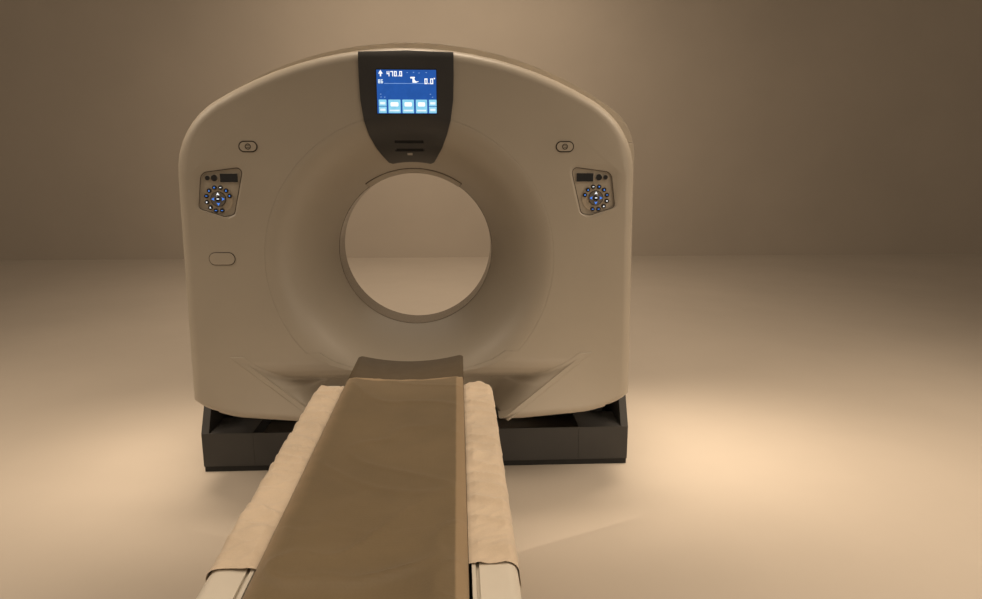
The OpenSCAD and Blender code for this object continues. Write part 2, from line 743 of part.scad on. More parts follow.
// End cover of the base with the boot that rises beside the pylon
boot_h = iso_h - norm([side_down, mid_y]) - 10 - base_h;
module end_cap(side) {
  w = end_cap_w - 0.5;
  color(CHARCOAL) mirror([side > 0 ? 0 : 1, 0, 0]) difference() {
    union() {
      translate([base_half_w - w, -base_front, kick_h])
        cube([w, base_front + base_rear, base_h - kick_h]);
      translate([base_half_w - 34, 0, 0]) rotate([90, 0, 90]) linear_extrude(34)
        polygon([[-base_front, base_h - 1], [-150, base_h + boot_h], [150, base_h + boot_h],
                 [base_front, base_h - 1]]);
    }
    translate([base_half_w - w - 5, -base_front + base_wall, kick_h - 1])
      cube([w + 5 - base_wall, base_front + base_rear - 2 * base_wall, base_h - kick_h - base_wall + 1]);
    translate([base_half_w - 34 - 1, -base_front + base_wall, kick_h])
      cube([35 - base_wall, base_front + base_rear - 2 * base_wall, base_h - kick_h - base_wall]);
    translate([base_half_w - 80 - w, -pylon_d / 2 - 8, base_h - 20])
      cube([w + 46, pylon_d + 16, 40]);
  }
}

// Black strip that closes the base to the floor
module kick_strip() {
  back = 3;
  w = base_half_w - back;
  color([0.05, 0.05, 0.05]) difference() {
    translate([-w, back - base_front, 0]) cube([2 * w, base_front + base_rear - 2 * back, kick_h]);
    translate([12 - w, back + 12 - base_front, -1])
      cube([2 * w - 24, base_front + base_rear - 2 * back - 24, kick_h + 2]);
    translate([-notch, -base_front, -1]) cube([2 * notch, 60, kick_h + 2]);
  }
}

module levelling_feet() {
  color([0.15, 0.15, 0.15])
    for (x = [40 - base_half_w + 70, 0, base_half_w - 110], y = [-beam_front + 45, base_rear - 75])
      translate([x, y, 0]) {
        cylinder(r = 38, h = 12);
        cylinder(r = 12, h = beam_z);
      }
}

table_near = rail_head + 20;
foot_z = 12;
foot_t = 26;

// Steel bridge that fixes the table's foot to the base frame
module docking_bridge() {
  color([0.40, 0.41, 0.43]) difference() {
    translate([-bridge_half_w, -table_near, 4])
      cube([2 * bridge_half_w, table_near - beam_front, bridge_h - 6]);
    for (x = [-100, 100], y = [-table_near + 40, -beam_front - 60])
      translate([x, y, -1]) cylinder(r = 9, h = 60);
  }
}

// Plan shape with round corners
module plate(w, y0, y1, r) {
  for (x = [r - w, w - r], y = [y0 + r, y1 - r]) translate([x, y]) circle(r);
  translate([-w, y0 + r]) square([2 * w, y1 - y0 - 2 * r]);
  translate([r - w, y0]) square([2 * w - 2 * r, y1 - y0]);
}

module table_foot() {
  color([0.30, 0.31, 0.33]) {
    translate([0, 0, foot_z])
      linear_extrude(foot_t) plate(hood_half_w + 8, -table_near - foot_len, -table_near, 70);
    for (x = [60 - hood_half_w, hood_half_w - 60], y = [-table_near - foot_len + 80, -table_near - 80])
      translate([x, y, 0]) cylinder(r = 34, h = foot_z);
  }
}

// One stage of the telescoping hood
hood_gap = 0.5;
hood_y0 = 30 - table_near - foot_len;
hood_y1 = -table_near - 30;
hood_round = 62;
module hood(stage, z0, z1) {
  step = stage * (hood_wall + hood_gap);
  translate([0, 0, z0]) linear_extrude(z1 - z0) difference() {
    plate(hood_half_w - step, hood_y0 + step, hood_y1 - step, hood_round - step);
    plate(hood_half_w - step - hood_wall, hood_y0 + step + hood_wall,
          hood_y1 - step - hood_wall, hood_round - step - hood_wall);
  }
}

frame_z = table_top - frame_drop;
foot_top = foot_z + foot_t;
stage_len = frame_z - lift_down - foot_top - 12;
middle_z = foot_top + 8 + lift_down / 2;
upper_z = frame_z - stage_len;
module lower_hood() { color(WHITE) hood(2, foot_top, foot_top + stage_len); }
module middle_hood() { color(WHITE) hood(1, middle_z, middle_z + stage_len - 8); }
module upper_hood() { color(WHITE) hood(0, upper_z, frame_z); }

// Square lifting tubes, three stages deep
tube_w = 130;
tube_wall = 9;
tube_in = 260;
tube_y = [hood_y1 - tube_in, hood_y0 + tube_in];
module lift_tubes(stage, z0, z1) {
  w = tube_w - 2 * stage * (tube_wall + hood_gap);
  for (y = tube_y) translate([0, y, z0]) difference() {
    translate([-w / 2, -w / 2, 0]) cube([w, w, z1 - z0]);
    translate([tube_wall - w / 2, tube_wall - w / 2, -1])
      cube([w - 2 * tube_wall, w - 2 * tube_wall, z1 - z0 + 2]);
  }
}

module lift_outer_tubes() { color(STEEL) lift_tubes(0, foot_top, foot_top + stage_len); }
module lift_middle_tubes() { color(STEEL) lift_tubes(1, middle_z, middle_z + stage_len - 8); }
module lift_inner_tubes() { color(STEEL) lift_tubes(2, upper_z, frame_z); }

// Extrudes a cross-section towards the table's near end, from y0 in front of the tilt axis
module along_table(y0, length) {
  translate([0, -y0, 0]) rotate([90, 0, 0]) linear_extrude(length) children();
}

// Cradle: a trough between two arcs about one centre, with a flat running strip below
lip = 12;
trough_half_w = cradle_half_w - lip;
trough_r = (trough_half_w * trough_half_w + cradle_dip * cradle_dip) / (2 * cradle_dip);
trough_z = table_top - cradle_dip + trough_r;
under_r = trough_r + cradle_t;
strip_z = table_top - cradle_dip - cradle_t + 3;
strip_half_w = sqrt(under_r * under_r - pow(trough_z - strip_z, 2));
head_corner = 26;

module cradle_shell() {
  color([0.27, 0.24, 0.20]) difference() {
    along_table(head_end, cradle_len) difference() {
      intersection() {
        translate([-cradle_half_w, strip_z]) square([2 * cradle_half_w, table_top - strip_z]);
        translate([0, trough_z]) circle(under_r, $fn = 360);
      }
      translate([0, trough_z]) circle(trough_r, $fn = 360);
      for (s = [-1, 1]) translate([s * cradle_half_w - 5, table_top - 12]) square([10, 5]);
    }
    for (s = [-1, 1]) mirror([s > 0 ? 0 : 1, 0, 0]) difference() {
      translate([cradle_half_w - head_corner, -head_end - head_corner, strip_z - 5])
        cube([head_corner + 5, head_corner + 5, table_top - strip_z + 10]);
      translate([cradle_half_w - head_corner, -head_end - head_corner, strip_z - 6])
        cylinder(r = head_corner, h = table_top - strip_z + 12);
    }
  }
}

// Mattress pad in the trough, thicker at its edges
pad_half_w = trough_half_w - 2;
pad_dip = 14;
pad_rise = 12;
cushion_r = (pad_half_w * pad_half_w + pad_dip * pad_dip) / (2 * pad_dip);
module cradle_pad() {
  color([0.48, 0.42, 0.33]) along_table(head_end + bare_len, cradle_len - bare_len - 20)
    difference() {
      intersection() {
        translate([-pad_half_w, table_top - cradle_dip]) square([2 * pad_half_w, cradle_dip + pad_rise]);
        translate([0, trough_z]) circle(trough_r - gap, $fn = 360);
      }
      translate([0, table_top + pad_rise - pad_dip + cushion_r]) circle(cushion_r, $fn = 360);
    }
}

// Table frame: a flared pan that carries the side rails and the guides
pan_t = 9;
rail_in = cradle_half_w + 6;
rail_h = 96;
rail_z = table_top - 8 - rail_h;
rail_round = 24;
rail_wall = 8;
pan_flare = 12;
guide_x = 60;
guide_w = 24;
guide_h = 24;
guide_len = 860;
guide_back = 110;
guide_z = frame_z + pan_t;
table_end = rail_head + rail_len;

roller_r = 20;
roller_pin_r = 8;
roller_z = strip_z - 0.3 - roller_r;
roller_y = rail_head + 40;
roller_half_l = strip_half_w - 6;
ear_t = 14;

module table_frame() {
  color([0.74, 0.72, 0.68]) {
    difference() {
      along_table(rail_head + 6, rail_len - 6) difference() {
        polygon([[-hood_half_w, frame_z], [hood_half_w, frame_z], [hood_half_w + pan_flare, rail_z],
                 [-hood_half_w - pan_flare, rail_z]]);
        polygon([[-hood_half_w + pan_t, frame_z + pan_t], [hood_half_w - pan_t, frame_z + pan_t],
                 [hood_half_w + pan_flare - pan_t, rail_z + 1],
                 [-hood_half_w - pan_flare + pan_t, rail_z + 1]]);
      }
      for (i = [0:2]) translate([0, -rail_head - 1290 - i * 240, frame_z - 1])
        cylinder(r = 36, h = pan_t + 2);
    }
    for (s = [-1, 1]) {
      translate([s > 0 ? guide_x : -guide_x - guide_w, -table_end + guide_back, guide_z])
        cube([guide_w, guide_len, guide_h]);
      difference() {
        translate([s > 0 ? roller_half_l + 1 : -roller_half_l - 1 - ear_t, -roller_y - 26, guide_z - 1])
          cube([ear_t, 52, roller_z - guide_z + 15]);
        translate([-roller_half_l - 30, -roller_y, roller_z]) rotate([0, 90, 0])
          cylinder(r = roller_pin_r + 0.05, h = 2 * roller_half_l + 60);
      }
    }
  }
}

module head_rollers() {
  color(STEEL) translate([0, -roller_y, roller_z]) rotate([0, 90, 0]) {
    cylinder(r = roller_r, h = 2 * roller_half_l, center = true);
    cylinder(r = roller_pin_r, h = 2 * (roller_half_l + ear_t), center = true);
  }
}

// Cross-section of a side rail from its inner edge outwards, grown by g
module rail_outer(g) {
  square([rail_w - rail_round, rail_h + g]);
  translate([0, rail_round]) square([rail_w + g, rail_h - 2 * rail_round]);
  for (z = [rail_round, rail_h - rail_round])
    translate([rail_w - rail_round, z]) circle(rail_round + g);
}

// Side rail: a hollow section with an accessory groove along its inner edge
groove_w = 7;
module rail(side) {
  mirror([side > 0 ? 0 : 1, 0, 0]) translate([rail_in, 0, rail_z]) intersection() {
    difference() {
      along_table(rail_head, rail_len) difference() {
        rail_outer(0);
        translate([rail_wall, rail_h - 9]) square([groove_w, 10]);
        translate([rail_wall - 3, rail_h - 9]) square([groove_w + 6, 4]);
      }
      along_table(rail_head + 70, rail_len) translate([rail_wall, rail_wall])
        square([rail_w - 2 * rail_wall, rail_h - 2 * rail_wall - 9]);
    }
    translate([0, 0, -5]) linear_extrude(rail_h + 10) {
      translate([0, -table_end]) square([rail_w, rail_len - rail_round * 2]);
      translate([0, -rail_head - rail_round * 2 - 1]) square([rail_w - rail_round * 2, rail_round * 2 + 1]);
      translate([rail_w - rail_round * 2, -rail_head - rail_round * 2]) circle(rail_round * 2);
    }
  }
}

// Cloth over a side rail: it lies on the top and hangs over the outer side
hem_z = 34;
module cloth(side) {
  mirror([side > 0 ? 0 : 1, 0, 0]) translate([rail_in, 0, rail_z])
    along_table(rail_head + rail_round * 2 + 4, cloth_len) difference() {
      rail_outer(gap + cloth_t);
      rail_outer(gap);
      translate([-1, -rail_round - 10]) square([rail_w + 20, rail_round + 10 + hem_z]);
    }
}

module foot_end_cover() {
  out = rail_in + rail_w;
  color(WHITE) difference() {
    translate([0, -table_end, frame_z]) linear_extrude(table_top - frame_z - 8) {
      translate([-out + 30, -40]) square([2 * out - 60, 40]);
      for (s = [-1, 1]) intersection() {
        translate([s * (out - 40), 0]) circle(40);
        translate([-out, -40]) square([2 * out, 40]);
      }
    }
    along_table(table_end - 1, 25) translate([-rail_in + 6, frame_z + 10])
      square([2 * rail_in - 12, table_top - frame_z + 30]);
  }
}

// Carriage below the cradle's near end, on the guides, with the nut of the drive screw
carriage_len = 300;
carriage_y = head_end + cradle_len - carriage_len - 60;
screw_r = 9;
screw_z = guide_z + guide_h + 22;
module cradle_carriage() {
  color([0.44, 0.45, 0.47]) difference() {
    along_table(carriage_y, carriage_len) difference() {
      union() {
        translate([-strip_half_w + 4, guide_z + guide_h + gap])
          square([2 * strip_half_w - 8, strip_z - guide_z - guide_h - gap]);
        translate([-guide_x - guide_w - 10, guide_z + 8]) square([2 * (guide_x + guide_w + 10), guide_h + 12]);
      }
      for (s = [-1, 1]) translate([s > 0 ? guide_x - gap : -guide_x - guide_w - gap, guide_z])
        square([guide_w + 2 * gap, guide_h + gap]);
      translate([-guide_x + 12, guide_z]) square([2 * guide_x - 24, 14]);
    }
    translate([0, -carriage_y + 1, screw_z]) rotate([90, 0, 0])
      cylinder(r = screw_r + 0.4, h = carriage_len + 2);
  }
}

// Motor, screw and end bearing that drive the carriage
module cradle_drive() {
  screw_end = carriage_y - 240;
  motor_y = carriage_y + carriage_len + 22;
  color([0.22, 0.23, 0.25]) {
    translate([-38, -motor_y - 90, guide_z]) cube([76, 90, screw_z - guide_z + 34]);
    translate([-24, -screw_end, guide_z]) cube([48, 18, screw_z - guide_z + 22]);
  }
  color(STEEL) translate([0, -screw_end - 17, screw_z]) rotate([90, 0, 0])
    cylinder(r = screw_r, h = motor_y - screw_end - 16);
}

module side_rail_left() { color(WHITE) rail(-1); }
module side_rail_right() { color(WHITE) rail(1); }
module rail_cloth_left() { color([0.84, 0.74, 0.60]) cloth(-1); }
module rail_cloth_right() { color([0.84, 0.74, 0.60]) cloth(1); }

base_frame();
pylon(-1);  // pylon_left
pylon(1);  // pylon_right
base_panel(-base_front, true);  // base_front_panel
base_panel(base_rear - base_wall, false);  // base_rear_panel
end_cap(-1);  // end_cap_left
end_cap(1);  // end_cap_right
kick_strip();
levelling_feet();
tilt_gearmotor();
docking_bridge();
table_foot();
lower_hood();
lift_outer_tubes();
lift_middle_tubes();
middle_hood();
table_frame();
lift_inner_tubes();
upper_hood();
side_rail_left();
side_rail_right();
rail_cloth_left();
rail_cloth_right();
foot_end_cover();
cradle_drive();
head_rollers();
cradle_shell();
cradle_pad();
cradle_carriage();
tilt_frame();
bearing_ring();
front_cover();
front_dish();
rear_cover();
rear_dish();
crown_shell();
side_shell(-1);  // side_shell_left
side_shell(1);  // side_shell_right
scan_window();
brow_band();
display_bezel();
display_screen();
panel_tray(-1);  // panel_left
panel_tray(1);  // panel_right
keypad(-1);  // keypad_left
keypad(1);  // keypad_right
access_caps();
round_button(-1, small_pos, small_r);  // small_button_left
round_button(-1, large_pos, large_r);  // large_button_left
direction_pad(-1);  // direction_pad_left
centre_key(-1);  // centre_key_left
round_button(1, small_pos, small_r);  // small_button_right
round_button(1, large_pos, large_r);  // large_button_right
direction_pad(1);  // direction_pad_right
centre_key(1);  // centre_key_right
rotor_drum();
xray_tube();
voltage_tank();
inverter();
detector_bank();
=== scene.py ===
"""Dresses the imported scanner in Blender: materials, display, panels, seams, soft goods, stage and lights."""
import json
import math

import bmesh
import bpy
from mathutils import Matrix, Vector, noise


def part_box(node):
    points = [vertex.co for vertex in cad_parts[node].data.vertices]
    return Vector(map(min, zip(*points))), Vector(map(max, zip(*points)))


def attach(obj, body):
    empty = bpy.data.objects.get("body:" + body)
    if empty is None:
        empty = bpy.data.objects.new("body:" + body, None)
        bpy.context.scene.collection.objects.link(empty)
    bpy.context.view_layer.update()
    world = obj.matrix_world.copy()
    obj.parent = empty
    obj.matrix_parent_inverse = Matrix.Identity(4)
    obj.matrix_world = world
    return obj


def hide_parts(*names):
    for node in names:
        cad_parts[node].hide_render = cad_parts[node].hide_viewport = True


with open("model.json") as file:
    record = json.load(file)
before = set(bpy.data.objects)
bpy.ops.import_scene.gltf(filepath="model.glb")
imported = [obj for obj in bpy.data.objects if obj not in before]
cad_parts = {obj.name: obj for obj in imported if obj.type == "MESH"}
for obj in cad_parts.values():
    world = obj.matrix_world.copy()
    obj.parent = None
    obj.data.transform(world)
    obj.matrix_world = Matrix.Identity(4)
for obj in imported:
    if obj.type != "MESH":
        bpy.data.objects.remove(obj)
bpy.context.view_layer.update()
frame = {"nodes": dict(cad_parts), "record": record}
nodes = frame["nodes"]

# Places that the pieces share, in metres, worked out from the frame
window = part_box("scan_window")
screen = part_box("display_screen")
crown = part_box("crown_shell")
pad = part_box("cradle_pad")
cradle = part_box("cradle_shell")
BORE_Z = (window[0].z + window[1].z) / 2
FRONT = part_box("front_cover")[0].y
MOUTH_R = round(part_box("front_dish")[1].x, 3)
WINDOW_R = window[1].x - 0.010
WINDOW_EDGE = window[0].y - 0.004
DISH_WALL = 0.007


def clamp(value):
    return max(0.0, min(1.0, value))


# Materials
class Shader:
    """Node graph of one material, in the object's own coordinates so that its detail keeps a real scale."""

    def __init__(self, name):
        self.material = bpy.data.materials.new(name)
        self.material.use_nodes = True
        self.nodes = self.material.node_tree.nodes
        self.links = self.material.node_tree.links
        self.finish = self.nodes["Principled BSDF"].inputs
        self.coords = self.nodes.new("ShaderNodeTexCoord").outputs["Object"]

    def feed(self, socket, value):
        """Links a socket to another one, or sets it where the value is a number or a colour."""
        if isinstance(value, bpy.types.NodeSocket):
            self.links.new(value, socket)
        else:
            socket.default_value = value

    def set(self, **values):
        """Feeds the finish; a name's underscores stand for spaces."""
        for key, value in values.items():
            self.feed(self.finish[key.replace("_", " ")], value)

    def node(self, kind, inputs, output, **settings):
        """Adds a node, feeds its inputs and gives back one of its outputs."""
        made = self.nodes.new("ShaderNode" + kind)
        for key, value in settings.items():
            setattr(made, key, value)
        for key, value in inputs.items():
            self.feed(made.inputs[key], value)
        return made.outputs[output]

    def math(self, operation, *values):
        return self.node("Math", dict(enumerate(values)), "Value", operation=operation)

    def axis(self, name):
        return self.node("SeparateXYZ", {0: self.coords}, name)

    def noise(self, scale, detail=4.0, rough=0.55, stretch=None):
        place = self.coords
        if stretch:
            place = self.node("Mapping", {"Vector": place, "Scale": stretch}, "Vector")
        inputs = {"Vector": place, "Scale": scale, "Detail": detail, "Roughness": rough}
        return self.node("TexNoise", inputs, "Fac")

    def ramp(self, factor, low, high, start=0.35, end=0.65):
        made = self.nodes.new("ShaderNodeValToRGB")
        for stop, place, colour in zip(made.color_ramp.elements, (start, end), (low, high)):
            stop.position = place
            stop.color = (*colour, 1)
        self.links.new(factor, made.inputs["Fac"])
        return made.outputs["Color"]

    def mix(self, factor, first, second):
        return self.node("Mix", {"Factor": factor, "A": first, "B": second}, "Result", data_type="RGBA")

    def bump(self, height, strength, distance, edge=None):
        inputs = {"Height": height, "Strength": strength, "Distance": distance}
        if edge is not None:
            inputs["Normal"] = edge
        return self.node("Bump", inputs, "Normal")


def shade(colour, share):
    return tuple(min(1.0, v * share) for v in colour)


GLOSS_SWING = 0.08


def surface(name, colour, rough=0.5, metallic=0.0, grain=900.0, bump=0.06, cloud=3.0, vary=0.05,
            bevel=0.0, coat=0.0, stretch=None):
    """Moulded, painted or machined surface: cloudy colour, fine grain in the bump, uneven gloss."""
    s = Shader(name)
    clouds = s.noise(cloud, 5.0, 0.6)
    tone = s.ramp(clouds, shade(colour, 1 - vary), shade(colour, 1 + vary))
    smudge = s.noise(cloud * 4.3, 6.0, 0.65)
    glossy, dull = max(0.02, rough - GLOSS_SWING), min(1.0, rough + GLOSS_SWING)
    gloss = {"Value": smudge, "To Min": glossy, "To Max": dull}
    edge = s.node("Bevel", {"Radius": bevel}, "Normal", samples=4) if bevel else None
    s.set(Base_Color=tone, Roughness=s.node("MapRange", gloss, "Result"), Metallic=metallic,
          Coat_Weight=coat, Normal=s.bump(s.noise(grain, 2.0, 0.5, stretch), bump, 0.0006, edge))
    return s.material


def weave(name, colour, thread=0.0011, rough=0.9, sheen=0.3, vary=0.12, depth=0.5, cloud=6.0, cover=None):
    """Woven cloth: warp and weft waves in the bump, mottled colour and a soft sheen."""
    s = Shader(name)
    mottle = s.math("MULTIPLY_ADD", s.noise(240.0, 3.0, 0.6), 0.25, s.noise(cloud, 6.0, 0.62))
    tone = s.ramp(mottle, shade(colour, 1 - vary), shade(colour, 1 + vary), 0.42, 0.82)
    wave = {"Vector": s.coords, "Scale": 1 / (thread * 20), "Distortion": 0.6, "Detail": 1.0}
    warp = s.node("TexWave", wave, "Fac", wave_type="BANDS", bands_direction="X")
    weft = s.node("TexWave", wave, "Fac", wave_type="BANDS", bands_direction="Y")
    s.set(Base_Color=cover(s, tone) if cover else tone, Roughness=rough, Sheen_Weight=sheen,
          Sheen_Roughness=0.5, Normal=s.bump(s.math("MAXIMUM", warp, weft), depth, 0.0005))
    return s.material


def glow(name, colour, strength, rough=0.3):
    """Lit display or key mark: dark when off, so almost all of its colour is its own light."""
    s = Shader(name)
    grain = s.noise(40.0, 2.0)
    s.set(Base_Color=s.ramp(grain, shade(colour, 0.10), shade(colour, 0.14)),
          Emission_Color=s.ramp(grain, shade(colour, 0.95), shade(colour, 1.04)),
          Emission_Strength=strength, Roughness=rough, Specular_IOR_Level=0.25)
    return s.material


def keypad_rubber():
    """One elastomer mat: pale between the keys, black on the domes, told apart by how far they stand out."""
    s = Shader("keypad_rubber")
    grain = s.noise(300.0, 3.0)
    depth = s.math("MULTIPLY_ADD", grain, 0.0002, s.axis("Y"))
    dome = s.math("LESS_THAN", depth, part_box("keypad_left")[1].y - 0.0036)
    tone = s.mix(dome, (0.41, 0.345, 0.262, 1), (0.012, 0.012, 0.014, 1))
    s.set(Base_Color=tone, Roughness=0.5, Normal=s.bump(grain, 0.15, 0.0003))
    return s.material


def sheet_and_light_over(s, tone):
    """Pale sheet over the pad: a hem across the head end and a strip on the right; on the left, painted light,
    a soft lighter fade.
    """
    wobble = s.noise(14.0, 3.0)
    masks = []
    # Hem and strip of the sheet, then painted light: a wide soft lighter fade along the pad's left edge
    for axis, stray, bare, full in (("Y", 0.034, pad[1].y - 0.024, pad[1].y - 0.006),
                                    ("X", 0.005, pad[1].x - 0.013, pad[1].x - 0.007),
                                    ("X", 0.026, 0.042 - pad[1].x, -0.016 - pad[1].x)):
        place = s.math("MULTIPLY_ADD", wobble, stray, s.axis(axis))
        masks.append(s.node("MapRange", {"Value": place, "From Min": bare, "From Max": full}, "Result",
                            interpolation_type="SMOOTHSTEP"))
    sheet_and_light = s.math("MAXIMUM", s.math("MAXIMUM", masks[0], masks[1]), masks[2])
    # The sheet's pale colour, which on the left also stands for painted light
    return s.mix(sheet_and_light, tone, (0.33, 0.235, 0.135, 1))


# Finish of each material slot of the record
FINISHES = {
    "cover_white": dict(colour=(0.40, 0.352, 0.285), rough=0.42, grain=1400, bump=0.05, cloud=1.3,
                        vary=0.035, bevel=0.004),
    "brow_white": dict(colour=(0.38, 0.33, 0.262), rough=0.45, grain=1400, vary=0.04, bevel=0.001),
    "table_white": dict(colour=(0.56, 0.49, 0.40), rough=0.45, grain=1400, cloud=2.2, vary=0.04,
                        bevel=0.003),
    "rail_white": dict(colour=(0.76, 0.70, 0.60), rough=0.42, grain=1200, bevel=0.002),
    "panel_grey": dict(colour=(0.40, 0.35, 0.282), rough=0.45, grain=1400, cloud=8, vary=0.03, bevel=0.0015),
    "charcoal": dict(colour=(0.040, 0.038, 0.036), rough=0.55, grain=700, bump=0.35, cloud=2.5, vary=0.14,
                     bevel=0.003),
    "kick_black": dict(colour=(0.008, 0.008, 0.008), rough=0.7, grain=500, bump=0.2, cloud=8, vary=0.3),
    "foot_rubber": dict(colour=(0.02, 0.02, 0.02), rough=0.75, grain=500, bump=0.3, cloud=20, vary=0.2),
    "frame_paint": dict(colour=(0.09, 0.095, 0.10), grain=500, bump=0.25, cloud=6, vary=0.1, bevel=0.002),
    "motor_paint": dict(colour=(0.035, 0.04, 0.045), rough=0.45, grain=500, bump=0.2, cloud=9, vary=0.15,
                        bevel=0.002),
    "pan_paint": dict(colour=(0.52, 0.48, 0.42), bevel=0.002),
    "carriage_paint": dict(colour=(0.30, 0.31, 0.32), rough=0.35, metallic=0.9, grain=300, cloud=8,
                           stretch=(1, 0.05, 1)),
    "tube_aluminium": dict(colour=(0.62, 0.62, 0.60), rough=0.32, metallic=1.0, grain=420, bump=0.2, cloud=6,
                           stretch=(1, 1, 0.04)),
    "bare_steel": dict(colour=(0.58, 0.57, 0.55), rough=0.28, metallic=1.0, grain=600, bump=0.15, cloud=9,
                       bevel=0.001),
    "cast_grey": dict(colour=(0.32, 0.33, 0.34), rough=0.6, metallic=0.7, grain=240, bump=0.5, cloud=7,
                      vary=0.12, bevel=0.004),
    "drum_aluminium": dict(colour=(0.34, 0.34, 0.35), rough=0.38, metallic=1.0, grain=500, bump=0.2, cloud=5,
                           vary=0.1),
    "tube_paint": dict(colour=(0.58, 0.57, 0.53), rough=0.4, cloud=8, bevel=0.002),
    "tank_paint": dict(colour=(0.18, 0.19, 0.20), grain=600, bump=0.2, cloud=8, vary=0.1),
    "detector_dark": dict(colour=(0.05, 0.065, 0.08), rough=0.45, grain=500, cloud=12, vary=0.15),
    "window_dark": dict(colour=(0.105, 0.085, 0.060), rough=0.24, bump=0.03, cloud=10, vary=0.12, coat=0.4),
    "bezel_grey": dict(colour=(0.040, 0.0385, 0.038), rough=0.42, grain=1100, bump=0.12, cloud=6, vary=0.08,
                       bevel=0.004),
    "key_black": dict(colour=(0.012, 0.011, 0.011), rough=0.25, grain=600, bump=0.03, cloud=60, vary=0.2,
                      coat=0.5),
    "key_blue": dict(colour=(0.15, 0.135, 0.118), rough=0.4, grain=1100, cloud=30, vary=0.06),
    "key_silver": dict(colour=(0.014, 0.013, 0.013), rough=0.25, grain=600, cloud=60, vary=0.2, coat=0.4),
    "cradle_laminate": dict(colour=(0.064, 0.043, 0.018), rough=0.42, grain=420, bump=0.25, cloud=4,
                            vary=0.14, stretch=(1, 0.25, 1), bevel=0.002),
}
slots = {name: surface(name, **finish) for name, finish in FINISHES.items()}
slots["screen_blue"] = glow("screen_blue", (0.018, 0.095, 0.385), 0.98, 0.2)
slots["keypad_rubber"] = keypad_rubber()

# Finishes of the pieces that this script adds
seam = surface("seam_dark", (0.030, 0.021, 0.013), 0.7, grain=600, cloud=10, vary=0.15)
# Dark rubber for the direction pads' rims, and painted shade for the bands over the crown shell's flanges
dark_rim_and_shade = surface("dark_rim_and_painted_shade", (0.030, 0.024, 0.017), 0.65, grain=500, cloud=6, vary=0.2)
void = surface("void_black", (0.006, 0.006, 0.006), 0.8, grain=300, cloud=12, vary=0.2)
glass = surface("black_glass", (0.008, 0.008, 0.009), 0.1, grain=300, bump=0.01, cloud=12, coat=0.8)
lamp = surface("lamp_lens", (0.36, 0.33, 0.29), 0.35, cloud=40, vary=0.08)
white_glow = glow("symbol_white", (0.94, 0.96, 1.0), 1.15)
blue_glow = glow("key_light", (0.07, 0.25, 0.85), 1.1)
key_glow = glow("soft_key", (0.28, 0.68, 0.90), 0.95)
mark_glow = glow("soft_key_mark", (0.80, 0.92, 1.0), 1.0)
line_glow = glow("screen_line", (0.30, 0.50, 0.90), 0.95)
cloth = weave("cloth_cream", (0.70, 0.57, 0.425), vary=0.10, depth=0.35)
vinyl = weave("pad_taupe", (0.176, 0.127, 0.066), thread=0.0016, rough=0.58, sheen=0.12, depth=0.2,
              cloud=3.2, cover=sheet_and_light_over)


# The dished bore, whose section is a quadratic curve
def dish(t, behind=0.0):
    """Radius and depth of the dish, from the scan window (t = 0) to the front face (t = 1)."""
    middle_r = WINDOW_R + 0.44 * (MOUTH_R - WINDOW_R)
    radius = (1 - t) ** 2 * WINDOW_R + 2 * t * (1 - t) * middle_r + t * t * MOUTH_R
    depth = (1 - t) ** 2 * WINDOW_EDGE + (1 - (1 - t) ** 2) * FRONT
    return radius + behind * (1 - t), depth + behind * math.sqrt(t)


def dish_t(radius, behind=0.0):
    """Place along the dish at a radius, on its surface or on one that lies behind it."""
    low, high = 0.0, 1.0
    for _ in range(24):
        middle = (low + high) / 2
        if dish(middle, behind)[0] < radius:
            low = middle
        else:
            high = middle
    return low


def dish_depth(radius, out):
    """Depth of the surface that lies the distance out in front of the dish, at a radius."""
    return dish(dish_t(radius, -out), -out)[1]


def dish_normal(point, face_normal):
    """Normal of the dish at a point of the front or rear one, or None where the point isn't on it."""
    x, z = point.x, point.z - BORE_Z
    radius = math.hypot(x, z)
    if not WINDOW_R - 0.002 < radius < MOUTH_R + 0.0003:
        return None
    t = dish_t(radius)
    off = abs(point.y) + dish(t)[1]
    if min(abs(off), abs(off - DISH_WALL)) > 0.0012:
        return None
    ahead, behind = dish(min(1.0, t + 0.01)), dish(max(0.0, t - 0.01))
    rise = 0.0 if t > 0.985 else ahead[1] - behind[1]
    normal = Vector((rise * x / radius, behind[0] - ahead[0], rise * z / radius)).normalized()
    if point.y > 0:
        normal.y = -normal.y
    return normal if normal.dot(face_normal) > 0.9 else None


# Shading of the carried-over nodes
ON_DISH = ("front_dish", "rear_dish", "display_bezel", "brow_band")
CREASE_COS = math.cos(math.radians(31))


def soften(node):
    """Shades a node's moulded curves smoothly and keeps its edges crisp; its mesh stays as it is."""
    mesh = node.data
    if "custom_normal" in mesh.attributes:
        mesh.attributes.remove(mesh.attributes["custom_normal"])
    dished = node.name.split(".")[0] in ON_DISH

    def key(vertex):
        return tuple(round(v, 5) for v in mesh.vertices[vertex].co)

    around, faces = {}, []
    for face in mesh.polygons:
        face.use_smooth = True
        faces.append((face.normal.copy(), face.area))
        for vertex in face.vertices:
            around.setdefault(key(vertex), []).append(face.index)
    normals = []
    for face in mesh.polygons:
        own = faces[face.index][0]
        for vertex in face.vertices:
            normal = dish_normal(mesh.vertices[vertex].co, own) if dished else None
            if normal is None:
                near = [faces[k] for k in around[key(vertex)] if faces[k][0].dot(own) > CREASE_COS]
                normal = sum((direction * area for direction, area in near), Vector())
                normal = normal.normalized() if normal.length > 1e-12 else own
            normals.append(normal)
    mesh.normals_split_custom_set(normals)


for part in frame["record"]["subparts"]:
    if part["material_slot"] in slots:
        node = nodes[part["node"]]
        node.data.materials.clear()
        node.data.materials.append(slots[part["material_slot"]])
        soften(node)


